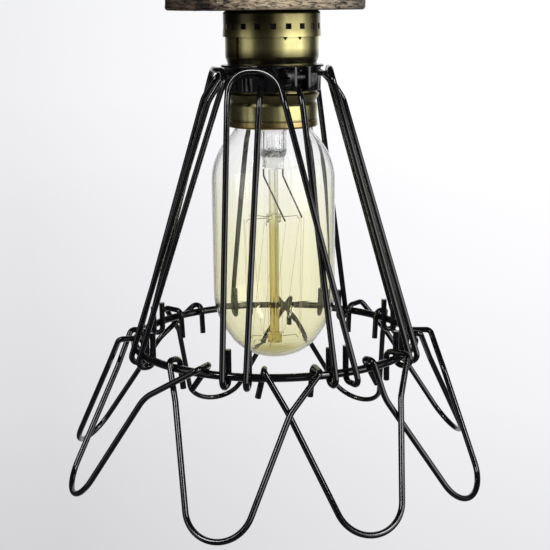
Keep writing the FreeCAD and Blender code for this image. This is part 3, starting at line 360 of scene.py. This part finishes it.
def clear_glass(name, tints, rim, ior, edge_fall, waves=120.0, depth=0.02 * MM, painted_sparkle=None):
    """Glass tinted by level; it darkens to its rim tint at the edges, a painted shade, and has dark
    specks of painted sparkle at its pinch.
    """
    finish, tree, shader = new_finish(name, Transmission_Weight=1.0, Roughness=0.0, IOR=ior,
                                      Coat_Weight=0.3, Coat_Roughness=0.02, Coat_IOR=1.5)
    tint = height_bands(tree, *tints)
    if painted_sparkle:
        specks = ramp(tree, noise(tree, place(tree), 1300.0, 2.0, 0.6), (0.44, 0.10), (0.56, 1.0))
        tint = blend_colours(tree, height_bands(tree, *painted_sparkle), tint, specks, "MULTIPLY")
    facing = add(tree, "ShaderNodeLayerWeight", Blend=0.35)
    edge = sum_of(tree, "POWER", facing.outputs["Facing"], edge_fall)
    tint = blend_colours(tree, edge, tint, height_bands(tree, *rim))
    ripple = noise(tree, place(tree, (1, 1, 0.3)), waves, 2.0, 0.4)
    set_finish(tree, shader, tint, normal=bump(tree, ripple, depth, 0.3))
    rays = add(tree, "ShaderNodeLightPath")
    through = add(tree, "ShaderNodeBsdfTransparent", Color=tint)
    both = add(tree, "ShaderNodeMixShader")
    wire_up(tree, both.inputs[0], rays.outputs["Is Shadow Ray"])
    wire_up(tree, both.inputs[1], shader.outputs["BSDF"])
    wire_up(tree, both.inputs[2], through.outputs["BSDF"])
    wire_up(tree, tree.nodes["Material Output"].inputs["Surface"], both.outputs["Shader"])
    return finish


def plain_metal(name, bright, dull, rough, scale=900.0):
    """Bare metal, rougher where it is dull."""
    finish, tree, shader = new_finish(name, Metallic=1.0)
    cloud = noise(tree, place(tree), scale, 4.0, 0.6)
    set_finish(tree, shader, ramp(tree, cloud, (0.3, dull), (0.65, bright)),
               ramp(tree, cloud, (0.3, rough + 0.12), (0.7, rough)),
               bump(tree, cloud, 0.03 * MM, 0.4))
    return finish


def moulded(name, colour, rough, scale=600.0):
    """Plastic, insulation or fibre in one colour, mottled a little darker."""
    finish, tree, shader = new_finish(name)
    cloud = noise(tree, place(tree), scale, 4.0, 0.6)
    darker = tuple(part * 0.72 for part in colour)
    set_finish(tree, shader, ramp(tree, cloud, (0.3, darker), (0.65, colour)),
               ramp(tree, cloud, (0.3, rough + 0.1), (0.7, rough)),
               bump(tree, cloud, 0.04 * MM, 0.4))
    return finish


# One finish for each slot of the record
finishes = {
    "walnut": rustic_walnut(),
    "antique_brass": antique_brass("antique_brass", SHELL_TARNISH_AND_SHADE, SHELL_PAINTED_SHADE),
    "black_wire": black_enamel(),
    "plated_steel": plain_metal("plated_steel", (0.50, 0.49, 0.46), (0.27, 0.26, 0.24), 0.32),
    "terminal_brass": plain_metal("terminal_brass", (0.72, 0.54, 0.24), (0.50, 0.35, 0.13), 0.28),
    "base_metal": plain_metal("base_metal", (0.75, 0.62, 0.34), (0.52, 0.42, 0.22), 0.25),
    "fine_wire": plain_metal("fine_wire", (0.30, 0.27, 0.23), (0.14, 0.12, 0.10), 0.3, 3000.0),
    "filament": moulded("carbon_thread", (0.40, 0.31, 0.18), 0.6, 4000.0),
    "connector_plastic": moulded("connector_plastic", (0.74, 0.72, 0.66), 0.45),
    "lead_brown": moulded("lead_brown", (0.16, 0.06, 0.025), 0.42),
    "lead_blue": moulded("lead_blue", (0.03, 0.10, 0.36), 0.42),
    "liner_fibre": moulded("liner_fibre", (0.12, 0.075, 0.045), 0.75, 1500.0),
    "core_plastic": moulded("core_plastic", (0.035, 0.028, 0.024), 0.35),
    "base_black": moulded("base_black", (0.012, 0.012, 0.013), 0.12),
    "bulb_glass": clear_glass("bulb_glass", BULB_TINTS, BULB_RIM, THIN_WALL_IOR, 2.6),
    "clear_glass": clear_glass("clear_glass", STEM_TINTS, STEM_RIM, SOLID_IOR, 3.2,
                               waves=800.0, depth=0.3 * MM, painted_sparkle=STEM_PAINTED_SPARKLE),
}

# Pieces whose finish differs from the rest of their slot
blued_steel = plain_metal("blued_steel", (0.09, 0.09, 0.09), (0.03, 0.03, 0.033), 0.34)
own_finishes = {
    "socket_cap": antique_brass("shaded_cap_brass", CAP_SHADE_BANDS, CAP_PAINTED_SHADE),
    "glass_rod": clear_glass("amber_glass", ROD_TINTS, ROD_RIM, SOLID_IOR, 1.3),
    "lead_in_wires": plain_metal("dark_wire", (0.10, 0.09, 0.08), (0.04, 0.035, 0.03), 0.3, 3000.0),
    "clamp_screw": blued_steel,
    "clamp_nut": blued_steel,
    "clamp_washer": blued_steel,
}
for name, piece in nodes.items():
    piece.data.materials.clear()
    piece.data.materials.append(own_finishes.get(name, finishes[slots[name]]))

JOIN_WITHIN = 0.001 * MM
RIM_WITHIN = 0.01 * MM


# Modelling by hand
def take_up(piece):
    """Leaves this piece alone selected and active."""
    bpy.ops.object.select_all(action="DESELECT")
    piece.select_set(True)
    bpy.context.view_layer.objects.active = piece


def open_mesh(piece):
    """Edit mode with nothing selected."""
    take_up(piece)
    bpy.ops.object.mode_set(mode="EDIT")
    bpy.ops.mesh.select_mode(type="VERT")
    bpy.ops.mesh.select_all(action="DESELECT")


def close_mesh():
    bpy.ops.object.mode_set(mode="OBJECT")


def close_facing_out():
    """Turns all faces outwards and leaves edit mode."""
    bpy.ops.mesh.select_all(action="SELECT")
    bpy.ops.mesh.normals_make_consistent(inside=False)
    close_mesh()


def choose_edges(piece, wanted):
    """Selects the edges that pass a test on their two ends."""
    mesh = bmesh.from_edit_mesh(piece.data)
    bpy.ops.mesh.select_mode(type="EDGE")
    bpy.ops.mesh.select_all(action="DESELECT")
    for edge in mesh.edges:
        edge.select = wanted(edge.verts[0].co, edge.verts[1].co)
    bmesh.update_edit_mesh(piece.data)


def choose_rims(wall, level):
    """Selects the edges that lie at a level."""
    choose_edges(wall, lambda one, two: max(abs(one.z - level), abs(two.z - level)) < RIM_WITHIN)


def settle(piece, name):
    """Names a new primitive and puts its place into its mesh."""
    piece.name = name
    piece.data.name = name
    take_up(piece)
    bpy.ops.object.transform_apply(location=True, rotation=True, scale=True)
    return piece


def apply_modifier(piece, kind, **settings):
    take_up(piece)
    modifier = piece.modifiers.new(kind.lower(), kind)
    for setting, value in settings.items():
        setattr(modifier, setting, value)
    bpy.ops.object.modifier_apply(modifier=modifier.name)


def dress_piece(piece, node, angle):
    """Finish, slot, body and the node that a piece stands for; smooth up to an angle in degrees."""
    take_up(piece)
    bpy.ops.object.shade_smooth_by_angle(angle=math.radians(angle))
    piece.data.materials.clear()
    piece.data.materials.append(nodes[node].data.materials[0])
    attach(piece, bodies_of[node])
    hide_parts(node)


def cutter(radius, top_radius, low, high, across=0.0):
    """Round cutter that stands on end between two levels."""
    bpy.ops.object.select_all(action="DESELECT")
    bpy.ops.mesh.primitive_cone_add(vertices=64, radius1=radius, radius2=top_radius,
                                    depth=high - low, location=(across, 0, (low + high) / 2))
    return settle(bpy.context.object, "cutter")


# Wooden block
BLOCK_BEVEL = 1.3 * MM
BLOCK_CUTS = (63, 63, 29)
SOCKET_SEAT = 19 * MM
FLAT_MARGIN = 0.2 * MM
CHIPPED_WIDTH = 4 * MM
SAW_DEPTH, DENT_DEPTH, CHIP_DEPTH = 0.16, 0.5, 1.3
RECESS_RADIUS, RECESS_DEPTH = 20 * MM, 16 * MM
NIPPLE_HOLE = 5.25 * MM
FIXING_HOLE, FIXING_ACROSS = 2.25 * MM, 26.5 * MM
SINK_RADIUS, SINK_DEPTH = 4.75 * MM, 2.25 * MM
SINK_OVERSHOOT = 0.25 * MM
OVERSHOOT = 5 * MM


def sawn_moves(mesh, low, high):
    """How far each vertex of the block goes in, for saw marks, dents and chipped edges."""
    moves = []
    for vertex in mesh.verts:
        spot = vertex.co
        if spot.z > high.z - FLAT_MARGIN:
            continue
        if spot.z < low.z + FLAT_MARGIN and spot.xy.length < SOCKET_SEAT:
            continue
        to_edges = sorted((min(spot.x - low.x, high.x - spot.x), min(spot.y - low.y, high.y - spot.y),
                           spot.z - low.z))
        near_edge = max(0.0, 1 - to_edges[1] / CHIPPED_WIDTH)
        saw = 0.5 + 0.5 * marks.noise(Vector((spot.x * 45, spot.y * 160, spot.z * 700)))
        dent = max(0.0, marks.noise(Vector((spot.x * 150 + 9, spot.y * 150, spot.z * 260))) - 0.12)
        chip = max(0.0, marks.noise(Vector((spot.x * 210, spot.y * 210 + 4, spot.z * 210))) + 0.1)
        depth = SAW_DEPTH * saw + DENT_DEPTH * dent + CHIP_DEPTH * chip * near_edge ** 2
        moves.append((vertex, -vertex.normal * depth * MM))
    return moves


def wooden_block():
    """Sawn block with softened, chipped edges, hollowed and drilled as its solid is."""
    low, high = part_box("mounting_block")
    size = high - low
    bpy.ops.object.select_all(action="DESELECT")
    bpy.ops.mesh.primitive_cube_add(size=1, location=(low + high) / 2, scale=size)
    block = settle(bpy.context.object, "wooden_block")
    open_mesh(block)
    choose_edges(block, lambda one, two: min(one.z, two.z) < high.z - MM)
    bpy.ops.mesh.bevel(offset=BLOCK_BEVEL, segments=4, profile=0.5)
    for axis, cuts in enumerate(BLOCK_CUTS):
        def long_way(one, two, axis=axis):
            return abs(one[axis] - two[axis]) > size[axis] / 2
        choose_edges(block, long_way)
        bpy.ops.mesh.subdivide(number_cuts=cuts)
    mesh = bmesh.from_edit_mesh(block.data)
    mesh.normal_update()
    for vertex, move in sawn_moves(mesh, low, high):
        vertex.co += move
    bmesh.update_edit_mesh(block.data)
    close_mesh()
    below, above = low.z - OVERSHOOT, high.z + OVERSHOOT
    cutters = [
        cutter(RECESS_RADIUS, RECESS_RADIUS, high.z - RECESS_DEPTH, above),
        cutter(NIPPLE_HOLE, NIPPLE_HOLE, below, above),
    ]
    for across in (-FIXING_ACROSS, FIXING_ACROSS):
        cutters.append(cutter(FIXING_HOLE, FIXING_HOLE, below, above, across))
        cutters.append(cutter(SINK_RADIUS, FIXING_HOLE, low.z - SINK_OVERSHOOT,
                              low.z + SINK_DEPTH, across))
    for tool in cutters:
        apply_modifier(block, "BOOLEAN", operation="DIFFERENCE", object=tool, solver="EXACT")
        bpy.data.objects.remove(tool)
    dress_piece(block, "mounting_block", 40)


# Threads and the glass stem, from walls that stand round the axis
BULB_PITCH = 3.63 * MM
THREAD_DEPTH = 0.7 * MM
SHELL_SIDES, SHELL_ROWS = 96, 84
PIPE_SIDES, PIPE_ROWS = 48, 130
NIPPLE_BORE = 3.5 * MM
NIPPLE_PITCH, NIPPLE_THREAD = 1.0 * MM, 0.3 * MM


def round_wall(name, radius, low, high, around, rows):
    """Open tube cut into even rows, left in edit mode."""
    bpy.ops.object.select_all(action="DESELECT")
    bpy.ops.mesh.primitive_cylinder_add(vertices=around, radius=radius, depth=high - low,
                                        end_fill_type="NOTHING", location=(0, 0, (low + high) / 2))
    wall = settle(bpy.context.object, name)
    open_mesh(wall)
    choose_edges(wall, lambda one, two: abs(one.z - two.z) > (high - low) / 2)
    bpy.ops.mesh.subdivide(number_cuts=rows - 1)
    return wall


def roll_thread(wall, crest, depth, pitch, low, high, root_end, crest_end):
    """Moves a wall's vertices on to a right-handed thread between two levels.

    It deepens from the crest over crest_end at the foot, and sinks to its root over root_end
    at the top.
    """
    mesh = bmesh.from_edit_mesh(wall.data)
    for vertex in mesh.verts:
        spot = vertex.co
        turn = math.atan2(spot.y, spot.x)
        wave = 0.5 - 0.5 * math.cos(math.tau * spot.z / pitch - turn)
        if crest_end:
            wave *= min(1.0, max(0.0, (spot.z - low) / crest_end))
        if root_end:
            wave = 1 - (1 - wave) * min(1.0, max(0.0, (high - spot.z) / root_end))
        radius = crest - depth * wave
        vertex.co.x = radius * math.cos(turn)
        vertex.co.y = radius * math.sin(turn)
    bmesh.update_edit_mesh(wall.data)


def extrude_rim(wall, level, scale, rise):
    """Extrudes the rim at a level, scales it about the axis and lifts it."""
    choose_rims(wall, level)
    bpy.ops.mesh.extrude_edges_move()
    bpy.ops.transform.resize(value=(scale, scale, 1), center_override=(0, 0, level))
    bpy.ops.transform.translate(value=(0, 0, rise))


def draw_in_rim(wall, level, radius):
    """Extrudes the rim at a level straight in to a radius."""
    choose_rims(wall, level)
    bpy.ops.mesh.extrude_edges_move()
    mesh = bmesh.from_edit_mesh(wall.data)
    for vertex in mesh.verts:
        if vertex.select:
            vertex.co.xy = vertex.co.xy.normalized() * radius
    bmesh.update_edit_mesh(wall.data)


def bulb_thread():
    """Rolled screw base: a plain skirt, the thread and a shoulder that narrows to the insulator."""
    low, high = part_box("bulb_screw_base")
    shoulder_height, shoulder_edge, skirt = 2.4 * MM, 0.5 * MM, 3.4 * MM
    crest, shoulder = high.x, high.z - shoulder_height
    root = crest - THREAD_DEPTH
    neck, mouth = root - 0.4 * MM, crest - 2.6 * MM
    wall = round_wall("bulb_thread", crest, low.z, shoulder, SHELL_SIDES, SHELL_ROWS)
    roll_thread(wall, crest, THREAD_DEPTH, BULB_PITCH, low.z + skirt, shoulder, 3 * MM, 2 * MM)
    extrude_rim(wall, shoulder, neck / root, shoulder_edge)
    extrude_rim(wall, shoulder + shoulder_edge, mouth / neck, shoulder_height - shoulder_edge)
    close_facing_out()
    apply_modifier(wall, "SOLIDIFY", thickness=0.3 * MM, offset=-1, use_even_offset=True)
    dress_piece(wall, "bulb_screw_base", 60)


def socket_thread():
    """Threaded shell that the bulb screws into, in step with the bulb's thread."""
    low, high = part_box("screw_shell")
    sheet, lip, contact_hole = 0.6 * MM, 1.4 * MM, 4.7 * MM
    crest, top = high.x - sheet, high.z - sheet
    wall = round_wall("socket_thread", crest, low.z, top, SHELL_SIDES, SHELL_ROWS)
    roll_thread(wall, crest, THREAD_DEPTH, BULB_PITCH, low.z + lip, top, 0, 2 * MM)
    draw_in_rim(wall, top, contact_hole)
    close_facing_out()
    apply_modifier(wall, "SOLIDIFY", thickness=sheet, offset=1, use_even_offset=True)
    dress_piece(wall, "screw_shell", 60)


def threaded_pipe():
    """Nipple with a fine thread outside and a plain bore."""
    low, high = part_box("threaded_nipple")
    pipe = round_wall("threaded_pipe", high.x, low.z, high.z, PIPE_SIDES, PIPE_ROWS)
    roll_thread(pipe, high.x, NIPPLE_THREAD, NIPPLE_PITCH, low.z, high.z, 0.6 * MM, 0)
    draw_in_rim(pipe, high.z, NIPPLE_BORE)
    bpy.ops.mesh.extrude_edges_move(TRANSFORM_OT_translate={"value": (0, 0, low.z - high.z)})
    choose_rims(pipe, low.z)
    bpy.ops.mesh.bridge_edge_loops()
    close_facing_out()
    dress_piece(pipe, "threaded_nipple", 60)


def crush_stem(stem, tube_end, top):
    """Flutes the stem's tube and flattens its end into an uneven pinch."""
    flutes, flute_depth = 9, 0.07
    plain_top, flute_fade, pinch_fade = 3 * MM, 4 * MM, 3.2 * MM
    mesh = bmesh.from_edit_mesh(stem.data)
    for vertex in mesh.verts:
        spot = vertex.co
        turn = math.atan2(spot.y, spot.x)
        if spot.z > tube_end - 0.1 * MM:
            fade = min(1.0, max(0.0, (top - plain_top - spot.z) / flute_fade))
            shrink = 1 - flute_depth * fade * (0.5 - 0.5 * math.cos(flutes * turn)) ** 2
            vertex.co.xy = spot.xy * shrink
        else:
            share = min(1.0, (tube_end - spot.z) / pinch_fade)
            share = share * share * (3 - 2 * share)
            bulge = marks.noise(Vector((spot.x * 500, spot.y * 500, spot.z * 620)))
            vertex.co.x *= 1 - 0.20 * share + 0.05 * bulge
            vertex.co.y *= 1 - 0.56 * share + 0.10 * bulge
    bmesh.update_edit_mesh(stem.data)


def fluted_stem():
    """Flared glass stem, fluted down its tube, that closes in an uneven flat pinch."""
    low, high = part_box("glass_stem")
    tube_top, tube_end, tube, inside = -70.6 * MM, -77.6 * MM, 4.95 * MM, 0.1 * MM
    stem = round_wall("fluted_stem", tube, tube_end, tube_top, 96, 12)
    mouth = high.x - inside
    level, radius = tube_top, tube
    for share in (0.25, 0.5, 0.75, 1.0):
        rise = (high.z - inside - tube_top) * (share - 0.25 * share * (1 - share))
        wider = tube + (mouth - tube) * share ** 1.7
        extrude_rim(stem, level, wider / radius, tube_top + rise - level)
        level, radius = tube_top + rise, wider
    level = tube_end
    for share in (0.2, 0.4, 0.6, 0.8, 1.0):
        drop = (low.z + inside - tube_end) * share
        extrude_rim(stem, level, 1.0, tube_end + drop - level)
        level = tube_end + drop
    bpy.ops.mesh.edge_face_add()
    crush_stem(stem, tube_end, high.z)
    close_facing_out()
    apply_modifier(stem, "SOLIDIFY", thickness=0.6 * MM, offset=-1)
    dress_piece(stem, "glass_stem", 60)


# Pieces made from a copy of their solid
def copy_of(node, name):
    """The solid's mesh with its loose triangles joined, left in edit mode."""
    piece = bpy.data.objects.new(name, nodes[node].data.copy())
    scene.collection.objects.link(piece)
    open_mesh(piece)
    bpy.ops.mesh.select_all(action="SELECT")
    bpy.ops.mesh.remove_doubles(threshold=JOIN_WITHIN)
    return piece


def thinner_copy(node, name, less):
    """A wire drawn thinner than its solid, along the same run."""
    piece = copy_of(node, name)
    close_mesh()
    apply_modifier(piece, "DISPLACE", strength=-less, mid_level=0.0)
    dress_piece(piece, node, 60)


def softened_copy(node, name, width):
    """A sheet piece with its sharp edges rounded over."""
    piece = copy_of(node, name)
    bpy.ops.mesh.dissolve_limited(angle_limit=math.radians(0.5))
    close_mesh()
    apply_modifier(piece, "BEVEL", width=width, segments=3, limit_method="ANGLE",
                   angle_limit=math.radians(50), use_clamp_overlap=False)
    dress_piece(piece, node, 40)


wooden_block()
fluted_stem()
softened_copy("clamp_band", "rounded_clamp", 0.3 * MM)
bulb_thread()
socket_thread()
threaded_pipe()
thinner_copy("filament", "carbon_filament", 0.04 * MM)
thinner_copy("upper_supports", "upper_hooks", 0.09 * MM)
thinner_copy("lower_supports", "lower_hooks", 0.09 * MM)

# Studio: a pale paper floor far below, the same paper far away, and lamps
FLOOR_LEVEL = -1.2
FLOOR_RADIUS = 40.0
# Tone of the paper by its distance in metres; painted shade, darker near the middle and paler far off
PAPER_TONES = [(2.0, (0.76, 0.755, 0.775)), (3.2, (0.86, 0.855, 0.88)), (5.0, (0.91, 0.905, 0.93)),
               (9.0, (0.94, 0.94, 0.96)), (18.0, (0.97, 0.97, 0.985))]
FAR_TONE = PAPER_TONES[-1][1]
# The room that metal and glass mirror is dark, except straight behind the lamp
DARK_ROOM = (0.014, 0.014, 0.015)
BEHIND_FROM, BEHIND_FULLY = 0.72, 0.98
# Light that the room sends on to the lamp, from the front and from behind
ROOM_FRONT, ROOM_BACK = (0.40, 0.40, 0.41), (0.85, 0.85, 0.86)


def facing_away(tree, direction, start, full):
    """0 in front of the lamp, 1 behind it, by the direction from the middle."""
    parts = add(tree, "ShaderNodeSeparateXYZ", Vector=direction)
    share = add(tree, "ShaderNodeMapRange", Value=parts.outputs["Y"])
    share.interpolation_type = "SMOOTHSTEP"
    share.inputs["From Min"].default_value = start
    share.inputs["From Max"].default_value = full
    return share.outputs["Result"]


def left_to_right(tree, direction):
    """Painted shade: the paper is a little darker at the left than at the right."""
    parts = add(tree, "ShaderNodeSeparateXYZ", Vector=direction)
    share = add(tree, "ShaderNodeMapRange", Value=parts.outputs["X"])
    share.inputs["From Min"].default_value = -0.30
    share.inputs["From Max"].default_value = 0.24
    return ramp(tree, share.outputs["Result"], (0.0, 0.892), (0.16, 0.95), (0.39, 1.013),
                (0.66, 1.08), (1.0, 1.12))


def paper_floor():
    """Round floor that shows as plain paper and still takes the lamp's shadow."""
    bpy.ops.object.select_all(action="DESELECT")
    bpy.ops.mesh.primitive_circle_add(vertices=96, radius=FLOOR_RADIUS, fill_type="NGON",
                                      location=(0, 0, FLOOR_LEVEL))
    floor = bpy.context.object
    floor.name = "studio_floor"
    paper, tree, shader = new_finish("studio_paper", Roughness=0.9)
    where = add(tree, "ShaderNodeTexCoord")
    distance = add(tree, "ShaderNodeVectorMath", Vector=where.outputs["Object"])
    distance.operation = "LENGTH"
    outward = add(tree, "ShaderNodeVectorMath", Vector=where.outputs["Object"])
    outward.operation = "NORMALIZE"
    direction = outward.outputs["Vector"]
    reach = add(tree, "ShaderNodeMapRange", Value=distance.outputs["Value"])
    reach.inputs["From Min"].default_value = PAPER_TONES[0][0]
    reach.inputs["From Max"].default_value = PAPER_TONES[-1][0]
    tone = ramp(tree, reach.outputs["Result"], *shares_of_span(PAPER_TONES))
    tone = blend_colours(tree, 1.0, tone, left_to_right(tree, direction), "MULTIPLY")
    set_finish(tree, shader, tone)
    rays = add(tree, "ShaderNodeLightPath")
    glossy, through = rays.outputs["Is Glossy Ray"], rays.outputs["Is Transmission Ray"]
    behind = facing_away(tree, direction, BEHIND_FROM, BEHIND_FULLY)
    mirrored = blend_colours(tree, behind, DARK_ROOM, tone)
    in_gloss = sum_of(tree, "MAXIMUM", sum_of(tree, "SUBTRACT", glossy, through))
    glow = add(tree, "ShaderNodeEmission", Color=blend_colours(tree, in_gloss, tone, mirrored))
    seen = sum_of(tree, "MAXIMUM", rays.outputs["Is Camera Ray"], glossy)
    seen = sum_of(tree, "MAXIMUM", seen, through)
    kept = ramp(tree, reach.outputs["Result"], (0.0, 0.88), (0.5, 1.0))
    mixed = add(tree, "ShaderNodeMixShader")
    wire_up(tree, mixed.inputs[0], sum_of(tree, "MULTIPLY", seen, kept))
    wire_up(tree, mixed.inputs[1], shader.outputs["BSDF"])
    wire_up(tree, mixed.inputs[2], glow.outputs["Emission"])
    wire_up(tree, tree.nodes["Material Output"].inputs["Surface"], mixed.outputs["Shader"])
    floor.data.materials.append(paper)


def paper_world():
    """World that shows as the far end of the paper and lights the lamp as a pale room."""
    world = bpy.data.worlds.new("studio")
    scene.world = world
    world.use_nodes = True
    tree = world.node_tree
    direction = add(tree, "ShaderNodeTexCoord").outputs["Generated"]
    far_tone = blend_colours(tree, 1.0, FAR_TONE, left_to_right(tree, direction), "MULTIPLY")
    behind = facing_away(tree, direction, BEHIND_FROM, BEHIND_FULLY)
    mirrored = blend_colours(tree, behind, DARK_ROOM, far_tone)
    room = blend_colours(tree, facing_away(tree, direction, -0.4, 0.9), ROOM_FRONT, ROOM_BACK)
    rays = add(tree, "ShaderNodeLightPath")
    seen = sum_of(tree, "MAXIMUM", rays.outputs["Is Camera Ray"], rays.outputs["Is Transmission Ray"])
    unseen = blend_colours(tree, rays.outputs["Is Glossy Ray"], room, mirrored)
    colour = blend_colours(tree, seen, unseen, far_tone)
    wire_up(tree, tree.nodes["Background"].inputs["Color"], colour)


LIT_MIDDLE = Vector((0, 0, -0.06))


def softbox(name, spot, width, height, radiance):
    """Area lamp aimed at the middle, whose brightness is the same whatever its size."""
    data = bpy.data.lights.new(name, "AREA")
    data.shape = "RECTANGLE"
    data.size = width
    data.size_y = height
    data.energy = radiance * width * height * math.pi
    lamp = bpy.data.objects.new(name, data)
    scene.collection.objects.link(lamp)
    lamp.location = spot
    lamp.rotation_euler = (Vector(spot) - LIT_MIDDLE).to_track_quat("Z", "Y").to_euler()


paper_floor()
paper_world()
softbox("key", (0.82, -0.47, 0.03), 0.98, 0.56, 1.75)
softbox("key_edge", (0.88, -0.50, 0.03), 2.20, 0.56, 0.55)
softbox("left_panel", (-0.78, -0.50, 0.02), 0.46, 0.80, 0.65)
softbox("high_left", (-0.52, -0.60, 0.56), 0.15, 0.34, 17.0)
softbox("high_right", (0.58, -0.54, 0.56), 0.15, 0.34, 17.0)
